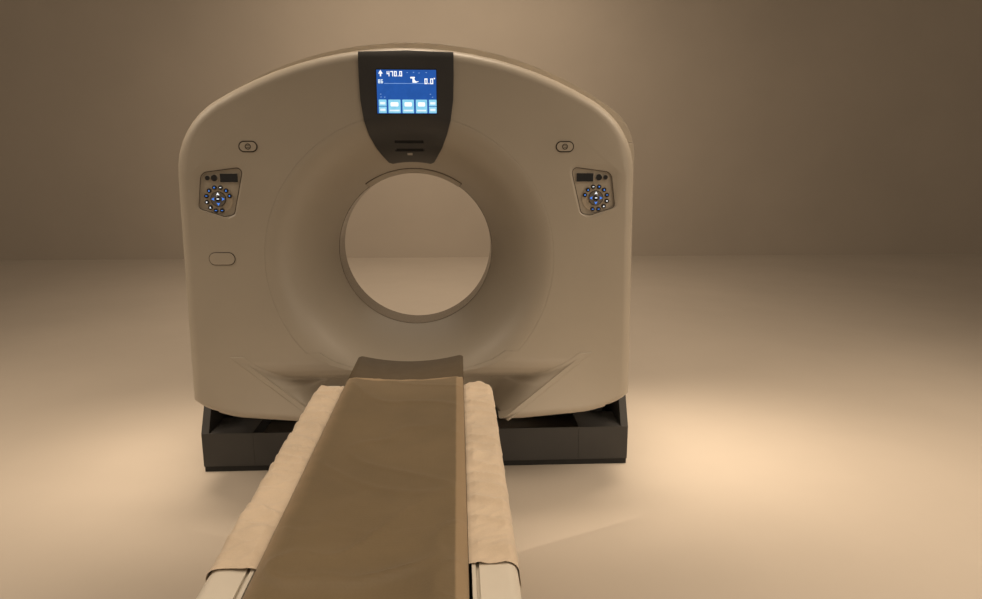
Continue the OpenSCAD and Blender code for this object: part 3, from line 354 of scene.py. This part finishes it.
# Helpers that make pieces
def mesh_piece(name, verts, faces, material, smooth=False):
    mesh = bpy.data.meshes.new(name)
    mesh.from_pydata([tuple(v) for v in verts], [], faces)
    mesh.validate()
    mesh.update()
    piece = bpy.data.objects.new(name, mesh)
    bpy.context.scene.collection.objects.link(piece)
    mesh.materials.append(material)
    for face in mesh.polygons:
        face.use_smooth = smooth
    return piece


def face_outwards(piece, bevel_at=None, bevel=0.0):
    """Turns a closed piece's faces outwards, and rounds the edges that lie at a depth."""
    bm = bmesh.new()
    bm.from_mesh(piece.data)
    bmesh.ops.recalc_face_normals(bm, faces=bm.faces)
    if bevel > 0:
        edges = [e for e in bm.edges if all(abs(v.co.y - bevel_at) < 1e-6 for v in e.verts)]
        bmesh.ops.bevel(bm, geom=edges, offset=bevel, segments=2, profile=0.6, affect="EDGES")
    bm.to_mesh(piece.data)
    bm.free()
    return piece


def prism(name, outline, front, back, material, bevel=0.0):
    """Solid from a front-view outline [(x, z)], between two depths."""
    n = len(outline)
    verts = [(x, front, z) for x, z in outline] + [(x, back, z) for x, z in outline]
    faces = [list(range(n)), list(range(2 * n - 1, n - 1, -1))]
    faces += [[i, i + n, (i + 1) % n + n, (i + 1) % n] for i in range(n)]
    return face_outwards(mesh_piece(name, verts, faces, material), front, bevel)


def slab(name, front, back, material, smooth=False):
    """Closed piece between two grids of points, each a list of rows, that face each other."""
    rows, cols = len(front) - 1, len(front[0]) - 1
    n, m = cols + 1, (cols + 1) * (rows + 1)
    faces = []
    for j in range(rows):
        for i in range(cols):
            a = j * n + i
            faces += [[a, a + n, a + n + 1, a + 1], [m + a, m + a + 1, m + a + n + 1, m + a + n]]
    rim = list(range(cols)) + [cols + j * n for j in range(rows)]
    rim += [rows * n + i for i in range(cols, 0, -1)] + [j * n for j in range(rows, 0, -1)]
    faces += [[a, b, m + b, m + a] for a, b in zip(rim, rim[1:] + rim[:1])]
    verts = [point for grid in (front, back) for row in grid for point in row]
    return face_outwards(mesh_piece(name, verts, faces, material, smooth))


def tube(name, points, radius, material, closed=True, smooth=True, sides=8):
    """A thin moulding along a path of points."""
    n = len(points)
    verts, faces = [], []
    for i, point in enumerate(points):
        before = Vector(points[(i - 1) % n] if closed or i else point)
        after = Vector(points[(i + 1) % n] if closed or i < n - 1 else point)
        along = (after - before).normalized()
        across = along.cross(Vector((0, 1, 0)))
        if across.length < 1e-4:
            across = Vector((1, 0, 0))
        across.normalize()
        up = across.cross(along).normalized()
        for k in range(sides):
            a = 2 * math.pi * k / sides
            verts.append(Vector(point) + across * (radius * math.cos(a)) + up * (radius * math.sin(a)))
    for i in range(n if closed else n - 1):
        here, there = i * sides, (i + 1) % n * sides
        for k in range(sides):
            following = (k + 1) % sides
            faces.append([here + k, here + following, there + following, there + k])
    if not closed:
        faces.append(list(range(sides))[::-1])
        faces.append([(n - 1) * sides + k for k in range(sides)])
    return mesh_piece(name, verts, faces, material, smooth)


def circle(x, z, radius, n=40):
    return [(x + radius * math.sin(2 * math.pi * i / n), z + radius * math.cos(2 * math.pi * i / n))
            for i in range(n)]


def at_depth(outline, y):
    return [(x, y, z) for x, z in outline]


def hull(points):
    """Outline round a set of points."""
    points = sorted(set((round(x, 6), round(z, 6)) for x, z in points))

    def half(run):
        out = []
        for x, z in run:
            while len(out) > 1 and ((out[-1][0] - out[-2][0]) * (z - out[-2][1]) -
                                    (out[-1][1] - out[-2][1]) * (x - out[-2][0])) <= 0:
                out.pop()
            out.append((x, z))
        return out[:-1]

    return half(points) + half(points[::-1])


def put(piece, body):
    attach(piece, body)
    return piece


# Picture on the display: a made-up layout of figures, marks and soft keys
MARK_Y = screen[0].y - 0.0006
MARK_T = 0.0004
BARS = {"0": "abcdef", "4": "fgbc", "6": "afgedc", "7": "abc", "8": "abcdefg"}
ARROW_UP = ((.035, .905), (.072, .985), (.109, .905), (.083, .905), (.083, .845), (.061, .845), (.061, .905))
COUCH = ((0.60, 0.80), (0.625, 0.80), (0.655, 0.735), (0.71, 0.735), (0.66, 0.705), (0.60, 0.705))
HEADREST = ((0.565, 0.80), (0.565, 0.835), (0.64, 0.835), (0.64, 0.80))
TICKS = ((0.505, 0.925), (0.61, 0.93), (0.70, 0.915), (0.82, 0.925), (0.885, 0.44), (0.92, 0.375),
         (0.055, 0.44), (0.06, 0.375), (0.12, 0.372))
SOFT_KEYS = ((0.03, 0.158), (0.19, 0.392), (0.424, 0.616), (0.648, 0.838), (0.868, 0.995))
SPLIT_KEYS = (0, 4)


def on_screen(u, v):
    """Point of the screen at a share of its width and height, from its lower left corner."""
    return (screen[0].x + (screen[1].x - screen[0].x) * u, screen[0].z + (screen[1].z - screen[0].z) * v)


def screen_shape(name, points, material, lift=0.0):
    outline = [on_screen(u, v) for u, v in points]
    y = MARK_Y - lift
    return put(prism(name, outline, y, y + MARK_T, material), "gantry")


def screen_block(name, u0, v0, u1, v1, material, lift=0.0, corner=0.0):
    """Rectangle on the screen, with round corners where a radius is given."""
    if not corner:
        return screen_shape(name, ((u0, v0), (u0, v1), (u1, v1), (u1, v0)), material, lift)
    (x0, z0), (x1, z1) = on_screen(u0, v0), on_screen(u1, v1)
    outline = []
    for x, z, turn in ((x1 - corner, z1 - corner, 0), (x1 - corner, z0 + corner, 90),
                       (x0 + corner, z0 + corner, 180), (x0 + corner, z1 - corner, 270)):
        for i in range(4):
            a = math.radians(turn + 30 * i)
            outline.append((x + corner * math.sin(a), z + corner * math.cos(a)))
    y = MARK_Y - lift
    return put(prism(name, outline, y, y + MARK_T, material), "gantry")


def figures(tag, text, u, v, high, material):
    """Numerals built from bars, from the lower left corner (u, v)."""
    aspect = (screen[1].z - screen[0].z) / (screen[1].x - screen[0].x)
    wide, thick = high * 0.55 * aspect, high * 0.17
    thin = thick * aspect
    half = high / 2
    places = {"a": (0, high - thick, wide, high), "d": (0, 0, wide, thick),
              "g": (0, half - thick / 2, wide, half + thick / 2), "f": (0, half, thin, high),
              "b": (wide - thin, half, wide, high), "e": (0, 0, thin, half),
              "c": (wide - thin, 0, wide, half)}
    for k, sign in enumerate(text):
        if sign == ".":
            screen_block(f"{tag}_dot{k}", u, v, u + thin, v + thick, material)
            u += thin * 1.9
            continue
        for bar in BARS[sign]:
            u0, v0, u1, v1 = places[bar]
            screen_block(f"{tag}_{k}{bar}", u + u0, v + v0, u + u1, v + v1, material)
        u += wide + thin * 1.1


def soft_key(i, u0, u1):
    """Key across the foot of the screen: split in two at either end, else with a mark and a caption."""
    screen_block(f"soft_key_{i}", u0, 0.02, u1, 0.325, key_glow, corner=0.0022)
    over = 0.0005
    if i in SPLIT_KEYS:
        screen_block(f"soft_key_split_{i}", u0, 0.165, u1, 0.18, slots["screen_blue"], over)
        screen_block(f"soft_key_up_{i}", u0 + 0.02, 0.215, u1 - 0.02, 0.27, mark_glow, over)
        screen_block(f"soft_key_low_{i}", u0 + 0.02, 0.065, u1 - 0.02, 0.12, mark_glow, over)
    else:
        screen_block(f"soft_key_mark_{i}", u0 + 0.035, 0.17, u1 - 0.035, 0.265, white_glow, over, 0.004)
        screen_block(f"soft_key_text_{i}", u0 + 0.018, 0.06, u1 - 0.018, 0.095, mark_glow, over)


def dress_screen():
    figures("height", "470.0", 0.175, 0.845, 0.115, white_glow)
    figures("tilt", "0.0", 0.80, 0.675, 0.125, white_glow)
    turns = [2 * math.pi * i / 10 for i in range(10)]
    degree = [(0.965 + 0.012 * math.sin(a), 0.80 + 0.016 * math.cos(a)) for a in turns]
    screen_shape("degree_mark", degree, white_glow)
    screen_shape("arrow_up", ARROW_UP, white_glow)
    screen_shape("tilt_mark_a", HEADREST, white_glow)
    screen_shape("tilt_mark_b", COUCH, white_glow)
    figures("row", "86", 0.03, 0.69, 0.085, mark_glow)
    screen_block("screen_rule", 0.13, 0.683, 0.79, 0.692, line_glow)
    for i, (u, v) in enumerate(TICKS):
        screen_block(f"screen_tick_{i}", u, v, u + 0.022, v + 0.012, line_glow)
    for i, (u0, u1) in enumerate(SOFT_KEYS):
        soft_key(i, u0, u1)
    corners = [on_screen(u, v) for u, v in ((0, 0), (0, 1), (1, 1), (1, 0))]
    rim = tube("screen_rim", at_depth(corners, screen[0].y - 0.0022), 0.0018, void, smooth=False)
    put(rim, "gantry")


dress_screen()

# Control panels; an outline is (x, z) from the direction pad's middle, x towards the gantry's outer side
TRAY_CORNERS = ((-.032, .076, .032), (.080, .102, .021), (-.062, -.026, .016), (.022, -.050, .020),
                (.044, -.046, .020))
TRAY_INSET = 0.0012
KEY_RING_R = 0.047
KEY_ANGLES = (-165, -135, -105, -75, -45, -15, 15, 45, 75, 165)
WHITE_KEYS = (1, 2, 6)
KEY_SYMBOLS = (((-.0038, -.0012), (-.0038, .0012), (.0038, .0012), (.0038, -.0012)),
               ((-.0034, -.0032), (0, .0038), (.0034, -.0032)),
               ((-.0034, 0), (0, .0034), (.0034, 0), (0, -.0034)))
PAD_ARROW = ((-.0064, .0146), (0, .0262), (.0064, .0146), (0, .0172))
PAD_RIM_R = 0.029
CENTRE_BAR = ((-.0045, -.0012), (-.0045, .0022), (.0045, .0022), (.0045, -.0012))
PANEL_GLASS = ((.0122, .0662), (.0122, .0998), (.0818, .0998), (.0818, .0662))


def dress_panel(tag, side):
    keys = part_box(f"direction_pad_{tag}")
    middle_x, middle_z = (keys[0].x + keys[1].x) / 2, (keys[0].z + keys[1].z) / 2

    def mark(name, outline, front, back, material, body, bevel=0.0):
        places = [(middle_x - side * x, middle_z + z) for x, z in outline]
        return put(prism(name, places, front, back, material, bevel), body)

    key_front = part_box("keypad_left")[0].y - 0.0005
    for i, angle in enumerate(KEY_ANGLES):
        x, z = KEY_RING_R * math.sin(math.radians(angle)), KEY_RING_R * math.cos(math.radians(angle))
        symbol = [(x + u, z + w) for u, w in KEY_SYMBOLS[i % 3]]
        mark(f"key_symbol_{tag}_{i}", symbol, key_front, key_front + 0.0008,
             white_glow if i in WHITE_KEYS else blue_glow, "gantry")
    for i in range(4):
        c, s = math.cos(i * math.pi / 2), math.sin(i * math.pi / 2)
        mark(f"pad_arrow_{tag}_{i}", [(u * c + w * s, w * c - u * s) for u, w in PAD_ARROW],
             keys[0].y - 0.0006, keys[0].y + 0.0004, blue_glow if i else white_glow,
             f"direction_pad_{tag}")
    rim = at_depth(circle(middle_x, middle_z, PAD_RIM_R, 48), keys[0].y + 0.0012)
    put(tube(f"pad_rim_{tag}", rim, 0.0011, dark_rim_and_shade), f"direction_pad_{tag}")
    key_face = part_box(f"centre_key_{tag}")[0].y
    mark(f"centre_symbol_{tag}", CENTRE_BAR, key_face - 0.0004, key_face + 0.0004, white_glow,
         f"centre_key_{tag}")
    mark(f"panel_glass_{tag}", PANEL_GLASS, FRONT + 0.0072, FRONT + 0.0092, glass,
         "gantry", 0.0006)
    corners = []
    for x, z, radius in TRAY_CORNERS:
        corners += circle(x, z, radius - TRAY_INSET, 36)
    edge = [(middle_x - side * x, FRONT + 0.0046, middle_z + z) for x, z in hull(corners)]
    put(tube(f"tray_seam_{tag}", edge, 0.0011, seam, sides=6), "gantry")


dress_panel("left", -1)
dress_panel("right", 1)

# Dark bands of painted shade over the crown shell's flanges, between the covers and the shell; heights are
# above the bore's axis
CROWN_CENTRE = -0.66
SHADE_BAND_T = 0.0008


def half_outline(half_width, crown_r, shoulder_r, inset, foot):
    """Right half of the gantry's outline: crown arc, shoulder arc, then down to the foot's points."""
    rise = math.sqrt((crown_r - shoulder_r) ** 2 - (half_width - shoulder_r) ** 2)
    turn = math.atan2(half_width - shoulder_r, rise)
    shoulder_z = CROWN_CENTRE + rise
    arc, bend = crown_r - inset, shoulder_r - inset
    out = []
    for i in range(25):
        a = turn * i / 24
        out.append((arc * math.sin(a), CROWN_CENTRE + arc * math.cos(a)))
    for i in range(1, 15):
        a = turn + (math.pi / 2 - turn) * i / 14
        out.append((half_width - shoulder_r + bend * math.sin(a), shoulder_z + bend * math.cos(a)))
    return out + list(foot)


def mirrored(outline):
    return [(-x, z) for x, z in reversed(outline)]


def shade_band(name, outer, inner, y):
    """Flat band of painted shade between two open half outlines and their mirror images."""
    outer, inner = mirrored(outer)[:-1] + outer, mirrored(inner)[:-1] + inner
    n = len(outer)
    verts = [(x, depth, BORE_Z + z) for depth in (y, y + SHADE_BAND_T) for x, z in outer + inner]
    faces = []
    for k in range(n - 1):
        faces += [[k, k + 1, n + k + 1, n + k], [2 * n + k, 3 * n + k, 3 * n + k + 1, 2 * n + k + 1],
                  [k, 2 * n + k, 2 * n + k + 1, k + 1], [n + k, n + k + 1, 3 * n + k + 1, 3 * n + k]]
    return put(mesh_piece(name, verts, faces, dark_rim_and_shade), "gantry")


# Half width, crown radius, shoulder radius, inset and foot of the band's two edges
shell_edge = half_outline(0.956, 1.532, 0.29, 0.0, ((0.962, -0.5), (0.962, -0.578)))
cover_edge = half_outline(0.920, 1.5, 0.34, 0.006, ((0.930, -0.509), (0.930, -0.578)))
# Painted shade: dark bands in front of and behind the crown shell's flanges, which lie in shadow
shade_band("shell_shade_front", shell_edge, cover_edge, crown[0].y - SHADE_BAND_T)
shade_band("shell_shade_rear", shell_edge, cover_edge, crown[1].y)

# Seams of the access caps: x, height above the bore's axis, cap height, cap length, seam radius, marked
CAPS = ((-.627, .461, .038, .068, .0032, True), (.627, .461, .038, .068, .0032, True),
        (-.761, .016, .048, .101, .0026, False))


def cap_seam(k, x, up, high, long, seam_r, marked):
    """Seam round an oblong cap, and the ring and two slots of its lock."""
    outline = []
    for end_x, turn in ((x + (long - high) / 2, 0), (x - (long - high) / 2, math.pi)):
        for i in range(15):
            a = turn + math.pi * i / 14
            outline.append((end_x + high / 2 * math.sin(a), BORE_Z + up + high / 2 * math.cos(a)))
    put(tube(f"cap_seam_{k}", at_depth(outline, FRONT - 0.0004), seam_r, seam), "gantry")
    if not marked:
        return
    z = BORE_Z + up
    ring = at_depth(circle(x, z, 0.0100, 28), FRONT - 0.0034)
    put(tube(f"cap_mark_{k}", ring, 0.0015, seam), "gantry")
    for tag, drop in (("a", -0.0035), ("b", 0.0035)):
        bottom, top = z + drop - .0008, z + drop + .0008
        slot = ((x - .006, bottom), (x - .006, top), (x + .006, top), (x + .006, bottom))
        put(prism(f"cap_slot_{k}_{tag}", slot, FRONT - 0.0036, FRONT - 0.003, seam), "gantry")


for k, cap in enumerate(CAPS):
    cap_seam(k, *cap)

# Seams of the brow band, along the dish and up its two ends
BROW_T = 0.087
BROW_LIFT = -0.0008


def on_dish_at(t, degrees):
    """Point just in front of the dish at a place along it and an angle from the top."""
    radius, y = dish(t, BROW_LIFT)
    a = math.radians(degrees)
    return radius * math.sin(a), y, BORE_Z + radius * math.cos(a)


put(tube("brow_seam", [on_dish_at(BROW_T, a) for a in range(-35, 36, 2)], 0.0012, seam, closed=False),
    "gantry")
for tag, angle in (("l", -35.2), ("r", 35.2)):
    end = [on_dish_at(t, angle) for t in (0.0, 0.02, 0.045, 0.066, BROW_T)]
    put(tube(f"brow_end_{tag}", end, 0.0011, seam, closed=False), "gantry")


# Vents and lamp of the display's bezel
def dish_plate(name, x0, x1, z0, z1, out, thick, material, cols=12, rows=3):
    """Thin plate that follows the dish between two heights above the bore's axis."""
    grids = []
    for lift in (out, out - thick):
        grid = []
        for j in range(rows + 1):
            z = z0 + (z1 - z0) * j / rows
            row = [x0 + (x1 - x0) * i / cols for i in range(cols + 1)]
            grid.append([(x, dish_depth(math.hypot(x, z), lift), BORE_Z + z) for x in row])
        grids.append(grid)
    return put(slab(name, *grids, material), "gantry")


for k, (up, half_width) in enumerate(((0.481, 0.0575), (0.449, 0.0540))):
    dish_plate(f"vent_dark_{k}", -half_width, half_width, up - 0.0050, up + 0.0050, 0.0040, 0.0016, void)
dish_plate("bezel_lamp", -0.0125, 0.0085, 0.4270, 0.4360, 0.0080, 0.0014, lamp, 4, 2)

# Recess under the bore, as the solids have it: depth and height above the bore's axis
RECESS_TOP = -0.395
RECESS_ROLL = (-0.365, -0.520)
RECESS_COVE = (-0.272, -0.538)
RECESS_BACK = (-0.236, -0.624)
RECESS_TOE = (-0.196, -0.724)
RECESS_WIDE, RECESS_NARROW = 0.735, 0.345

# Flanks: heights of both ends, thickness, lap on the front face, and how the sweep widens with the depth
FLANK_TOP, FLANK_FOOT = RECESS_TOP - 0.003, -0.702
FLANK_T = 0.006
FLANK_LAP = 0.034
FLANK_SWEEP = 0.060
FLANK_FLARE = 1.25
FLANK_PROUD = 0.0005


def bow(start, pull, end, n=12):
    """Points of a quadratic curve."""
    curve = []
    for i in range(n + 1):
        t = i / n
        shares = ((1 - t) ** 2, 2 * t * (1 - t), t * t)
        curve.append(tuple(sum(w * v for w, v in zip(shares, values)) for values in zip(start, pull, end)))
    return curve


recess_front = FRONT - 0.002
recess_line = bow((recess_front, RECESS_TOP), (recess_front, RECESS_TOP - 0.105), RECESS_ROLL)
recess_line += bow(RECESS_ROLL, RECESS_COVE, RECESS_BACK)[1:] + [RECESS_TOE]


def recess_depth(up):
    """Depth of the recess's wall at a height above the bore's axis."""
    for (y0, z0), (y1, z1) in zip(recess_line, recess_line[1:]):
        if z1 <= up <= z0:
            return y0 + (y1 - y0) * (z0 - up) / (z0 - z1)
    return recess_line[0][0]


def recess_flank(tag, side, rows=44, cols=26):
    """Moulded flank that leads from the front face into the recess in one soft sweep."""
    narrowing = (RECESS_WIDE - RECESS_NARROW) / (RECESS_TOP - RECESS_TOE[1])
    grids = []
    for back in (0.0, FLANK_T):
        grid = []
        for j in range(rows + 1):
            up = FLANK_TOP + (FLANK_FOOT - FLANK_TOP) * j / rows
            deep = recess_depth(up) - FRONT
            outer = RECESS_WIDE + (up - RECESS_TOP) * narrowing + FLANK_LAP
            inner = max(RECESS_NARROW - 0.009, outer - FLANK_SWEEP - FLANK_FLARE * deep)
            row = []
            for i in range(cols + 1):
                t = i / cols
                ease = t * t * (3 - 2 * t)
                y = FRONT - FLANK_PROUD + (deep + 0.0002) * ease + back
                row.append((side * (outer + (inner - outer) * t), y, BORE_Z + up))
            grid.append(row)
        grids.append(grid)
    piece = slab(f"recess_flank_{tag}", *grids, slots["cover_white"], True)
    return put(piece, "gantry")


recess_flank("left", -1)
recess_flank("right", 1)


# Soft goods
def field(x, y, z=0.0):
    return noise.noise(Vector((x, y, z)))


def wrinkle(x, y, scale, seed):
    """Broad unevenness, about -1 to 1."""
    return noise.fractal(Vector((x * scale[0] + seed, y * scale[1] + seed * 0.7, -seed)), 0.9, 2.1, 4)


def crease(x, y, scale, seed, sharp):
    """Height from 0 to 1 that peaks along wandering fold lines."""
    warp = field(x * 3.1 + seed, y * 2.3, seed) * 0.35
    line = abs(field(x * scale[0] + warp, y * scale[1] + warp, seed)) * 1.6
    return (1 - min(1.0, line)) ** sharp


# Pad: how far it laps over the cradle's lips, its hollow and its rounded edge, and the cradle's trough
PAD_COLS, PAD_ROWS = 40, 190
PAD_LAP = 0.0130
PAD_HOLLOW = 0.014
PAD_ROUND = 0.0125
TROUGH_R = 0.7966
TROUGH_LOW = 0.605
LIP = cradle[1].z + 0.0002


def pad_point(u, t):
    """Top and underside of the pad, u from -1 to 1 across it and t from 0 at its head to 1."""
    half_width, length = pad[1].x, pad[1].y - pad[0].y
    end = min(t, 1 - t) * length
    x = (half_width + PAD_LAP - 0.0040 * (1 - min(1.0, end / 0.05)) ** 2) * u
    y = pad[1].y - length * t + 0.009 * field(x * 14, 1.7) * max(0.0, 1 - end / 0.05)
    edge = max(0.0, abs(u) - 0.86) / 0.14
    inside = 1 - edge
    near = clamp((-1.72 - y) / 0.35) * inside

    # Hollow along the middle, rounded long edges and rounded ends
    top = pad[1].z - PAD_HOLLOW * (1 - min(1.0, abs(x) / half_width) ** 2)
    top -= PAD_ROUND * edge ** 1.8 + 0.014 * (1 - min(1.0, end / 0.03)) ** 2

    # Unevenness all over, waves and folds towards the near end, faint creases elsewhere, then the welt
    top += 0.0016 * wrinkle(x, y, (7.0, 3.2), 3.1) * inside
    top += 0.0011 * math.sin(38 * (y + 0.6 * x) + 5 * field(x * 4, y * 3)) * clamp((-1.9 - y) / 0.25)
    top += 0.0046 * wrinkle(x, y, (7.0, 5.0), 9.4) * near
    top += 0.0150 * crease(0.8 * x + 0.5 * y, y - 0.7 * x, (7.0, 6.5), 2.7, 4.0) * near
    top += 0.0046 * crease(x, y + 0.3 * x, (3.4, 5.2), 7.3, 9.0) * inside * (1 - near)
    top += 0.0024 * math.exp(-((end - 0.016) / 0.008) ** 2) * (1 + 0.9 * field(x * 24, 0.0, t))

    # Underside, on the trough and out over the cradle's lips
    trough = TROUGH_LOW + TROUGH_R - math.sqrt(TROUGH_R ** 2 - x * x)
    low = min(trough, LIP) + 0.0008 if abs(x) < half_width + 0.001 else LIP + 0.0007
    return (x, y, max(top, low + 0.001)), (x, y, low)


def build_pad():
    """Crowned closed pad in the cradle's trough: rounded edges, faint creases, a sewn welt at each end."""
    grids = ([], [])
    for j in range(PAD_ROWS + 1):
        t = j / PAD_ROWS
        t = t * t * (3 - 2 * t) * 0.06 + t * 0.94
        row = [pad_point(-1 + 2 * i / PAD_COLS, t) for i in range(PAD_COLS + 1)]
        for grid, points in zip(grids, zip(*row)):
            grid.append(points)
    piece = put(slab("pad_cover", *grids, vinyl, True), "cradle")
    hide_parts("cradle_pad")


build_pad()

# Cloths: radius of the corner in plan and of the turned-down edge, gap to the rail, turn over the head end
CLOTH_COLS, CLOTH_ROWS = 46, 230
CORNER_R = 0.052
EDGE_R = 0.022
CLOTH_LIFT = 0.0028
HEAD_TURN = 0.055


def over_edge(a, b, width, length):
    """Where a point of the flat cloth comes to lie: across, along, how far down, and the way it faces."""
    corner_x, corner_y = width - CORNER_R, length - CORNER_R
    x, y = min(a, corner_x), min(b, corner_y)
    reach = math.hypot(a - x, b - y)
    facing = ((a - x) / reach, (b - y) / reach) if reach > 1e-9 else (0.0, 0.0)
    flat, bend = CORNER_R - EDGE_R, EDGE_R * math.pi / 2
    past = reach - flat
    if past <= 0:
        out, down = reach, 0.0
    elif past < bend:
        out, down = flat + EDGE_R * math.sin(past / EDGE_R), EDGE_R * (1 - math.cos(past / EDGE_R))
    else:
        out, down = flat + EDGE_R, EDGE_R + past - bend
    return x + facing[0] * out, y + facing[1] * out, down, facing


def cloth_point(a, b, side, width, length, drop):
    """Point of the flat cloth laid on the rail: across, along, and up from the rail's top."""
    x, y, down, facing = over_edge(a, b, width, length)

    # The hanging part billows away from the rail
    run = y + x * 0.4
    billow = 0.0042 * math.sin(46 * run + 3.1 * field(run * 5, 0, side * 3.0)) + 0.0035
    out = CLOTH_LIFT + billow * max(0.0, down - EDGE_R) / (drop - EDGE_R)
    x, y = x + facing[0] * out, y + facing[1] * out

    # Folds on the flat part, dying out towards its inner edge
    flat = (1 - min(1.0, down / EDGE_R)) * min(1.0, (a + 0.002) / 0.022)
    folds = abs(0.0040 * wrinkle(x, y, (9, 8), 2.0 + side))
    folds += 0.0120 * crease(0.35 * x + 0.2 * y, y + 0.35 * side * x, (9.0, 15.0), 1.9 + side, 3.0)
    folds += 0.0042 * crease(0.5 * x - 0.2 * y, y - 0.45 * side * x, (20.0, 30.0), 4.3 + side, 3.0)
    return x, y, 0.0016 - down + flat * folds


def build_cloth(tag, side):
    """Cream cloth laid over a side rail and turned down over its outer edge and head end."""
    rail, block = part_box(f"side_rail_{tag}"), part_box(f"rail_cloth_{tag}")
    inner = min(abs(rail[0].x), abs(rail[1].x)) - 0.0060
    width = max(abs(rail[0].x), abs(rail[1].x)) - inner
    length, drop = rail[1].y - block[0].y, rail[1].z - block[0].z
    flat_width, flat_length = width + drop - EDGE_R * 0.6, length + HEAD_TURN
    verts = []
    for j in range(CLOTH_ROWS + 1):
        for i in range(CLOTH_COLS + 1):
            a, b = flat_width * i / CLOTH_COLS, flat_length * j / CLOTH_ROWS
            x, y, z = cloth_point(a, b, side, width, length, drop)
            ragged = 0.006 * field(a * 20, side * 2.0, 0.3) if j == 0 else 0.0
            verts.append((side * (inner + x), block[0].y + y + ragged, rail[1].z + z))
    n = CLOTH_COLS + 1
    faces = []
    for j in range(CLOTH_ROWS):
        for i in range(CLOTH_COLS):
            a = j * n + i
            faces.append([a, a + 1, a + n + 1, a + n][::side])
    piece = put(mesh_piece(f"cloth_{tag}", verts, faces, cloth, True), "table_top")
    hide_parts(f"rail_cloth_{tag}")


build_cloth("left", -1)
build_cloth("right", 1)


# Stage, lights and camera
def backdrop(name, material, place, turn=0.0):
    bpy.ops.mesh.primitive_plane_add(size=30, location=place, rotation=(math.radians(turn), 0, 0))
    plane = bpy.context.object
    plane.name = name
    plane.data.materials.append(material)


floor_paint = surface("floor_pale", (0.52, 0.455, 0.38), 0.5, grain=60, bump=0.02, cloud=0.8, vary=0.03)
wall_paint = surface("wall_pale", (0.50, 0.435, 0.36), 0.8, grain=60, bump=0.02, cloud=0.7, vary=0.03)
backdrop("floor", floor_paint, (0, 2, -0.0005))
backdrop("backdrop", wall_paint, (0, 6.5, 5), 90)

WARM = (1.0, 0.81, 0.61)
world = bpy.data.worlds.new("studio")
bpy.context.scene.world = world
world.use_nodes = True
sky = world.node_tree.nodes["Background"].inputs
sky["Color"].default_value = (*WARM, 1)
sky["Strength"].default_value = 0.205


def area(name, place, target, size, power, spread=180, long=0.0):
    """Warm area light, square or with a longer side, that the camera doesn't see."""
    light = bpy.data.lights.new(name, "AREA")
    light.energy = power
    light.size = size
    light.spread = math.radians(spread)
    light.color = WARM
    if long:
        light.shape = "RECTANGLE"
        light.size, light.size_y = long, size
    holder = bpy.data.objects.new(name, light)
    holder.location = place
    holder.rotation_euler = (Vector(target) - Vector(place)).to_track_quat("-Z", "Y").to_euler()
    holder.visible_camera = False
    bpy.context.scene.collection.objects.link(holder)


area("ceiling_front", (0.3, -2.9, 3.2), (0.3, -2.9, 0), 2.4, 19, spread=110)
area("ceiling_right", (3.0, -0.9, 2.9), (2.4, -0.4, 0), 2.0, 43, spread=120)
area("ceiling_left", (-3.0, -0.9, 2.9), (-2.4, -0.4, 0), 2.0, 37, spread=120)
area("ceiling_back", (0, 3.6, 3.6), (0, 4.6, 0.6), 4.0, 90)
area("room_right", (2.9, -2.8, 1.35), (0.3, -1.0, 0.6), 1.3, 14)
area("ceiling_rim", (0.2, -0.10, 3.2), (0.2, -0.10, 1.9), 0.3, 16, spread=40, long=3.4)
area("floor_right", (0.66, -0.92, 0.03), (0.45, -0.45, 0.75), 0.6, 2.2)
area("floor_left", (-0.60, -0.92, 0.03), (-0.42, -0.45, 0.75), 0.6, 1.4)

# Camera fitted to the photograph: place, turn to the right and tilt down
CAMERA_PLACE = Vector((0.195, -3.31, 1.435))
CAMERA_YAW, CAMERA_PITCH = math.radians(2.7), math.radians(11.8)
optics = bpy.data.cameras.new("camera")
optics.lens = 25.66
optics.sensor_width = 36.0
optics.clip_start = 0.05
camera = bpy.data.objects.new("camera", optics)
bpy.context.scene.collection.objects.link(camera)
level = math.cos(CAMERA_PITCH)
ahead = Vector((math.sin(CAMERA_YAW) * level, math.cos(CAMERA_YAW) * level, -math.sin(CAMERA_PITCH)))
right = ahead.cross(Vector((0, 0, 1))).normalized()
axes = (right, right.cross(ahead), -ahead)
camera.matrix_world = Matrix.Translation(CAMERA_PLACE) @ Matrix(axes).transposed().to_4x4()
bpy.context.scene.camera = camera
bpy.context.scene.view_settings.view_transform = "Standard"
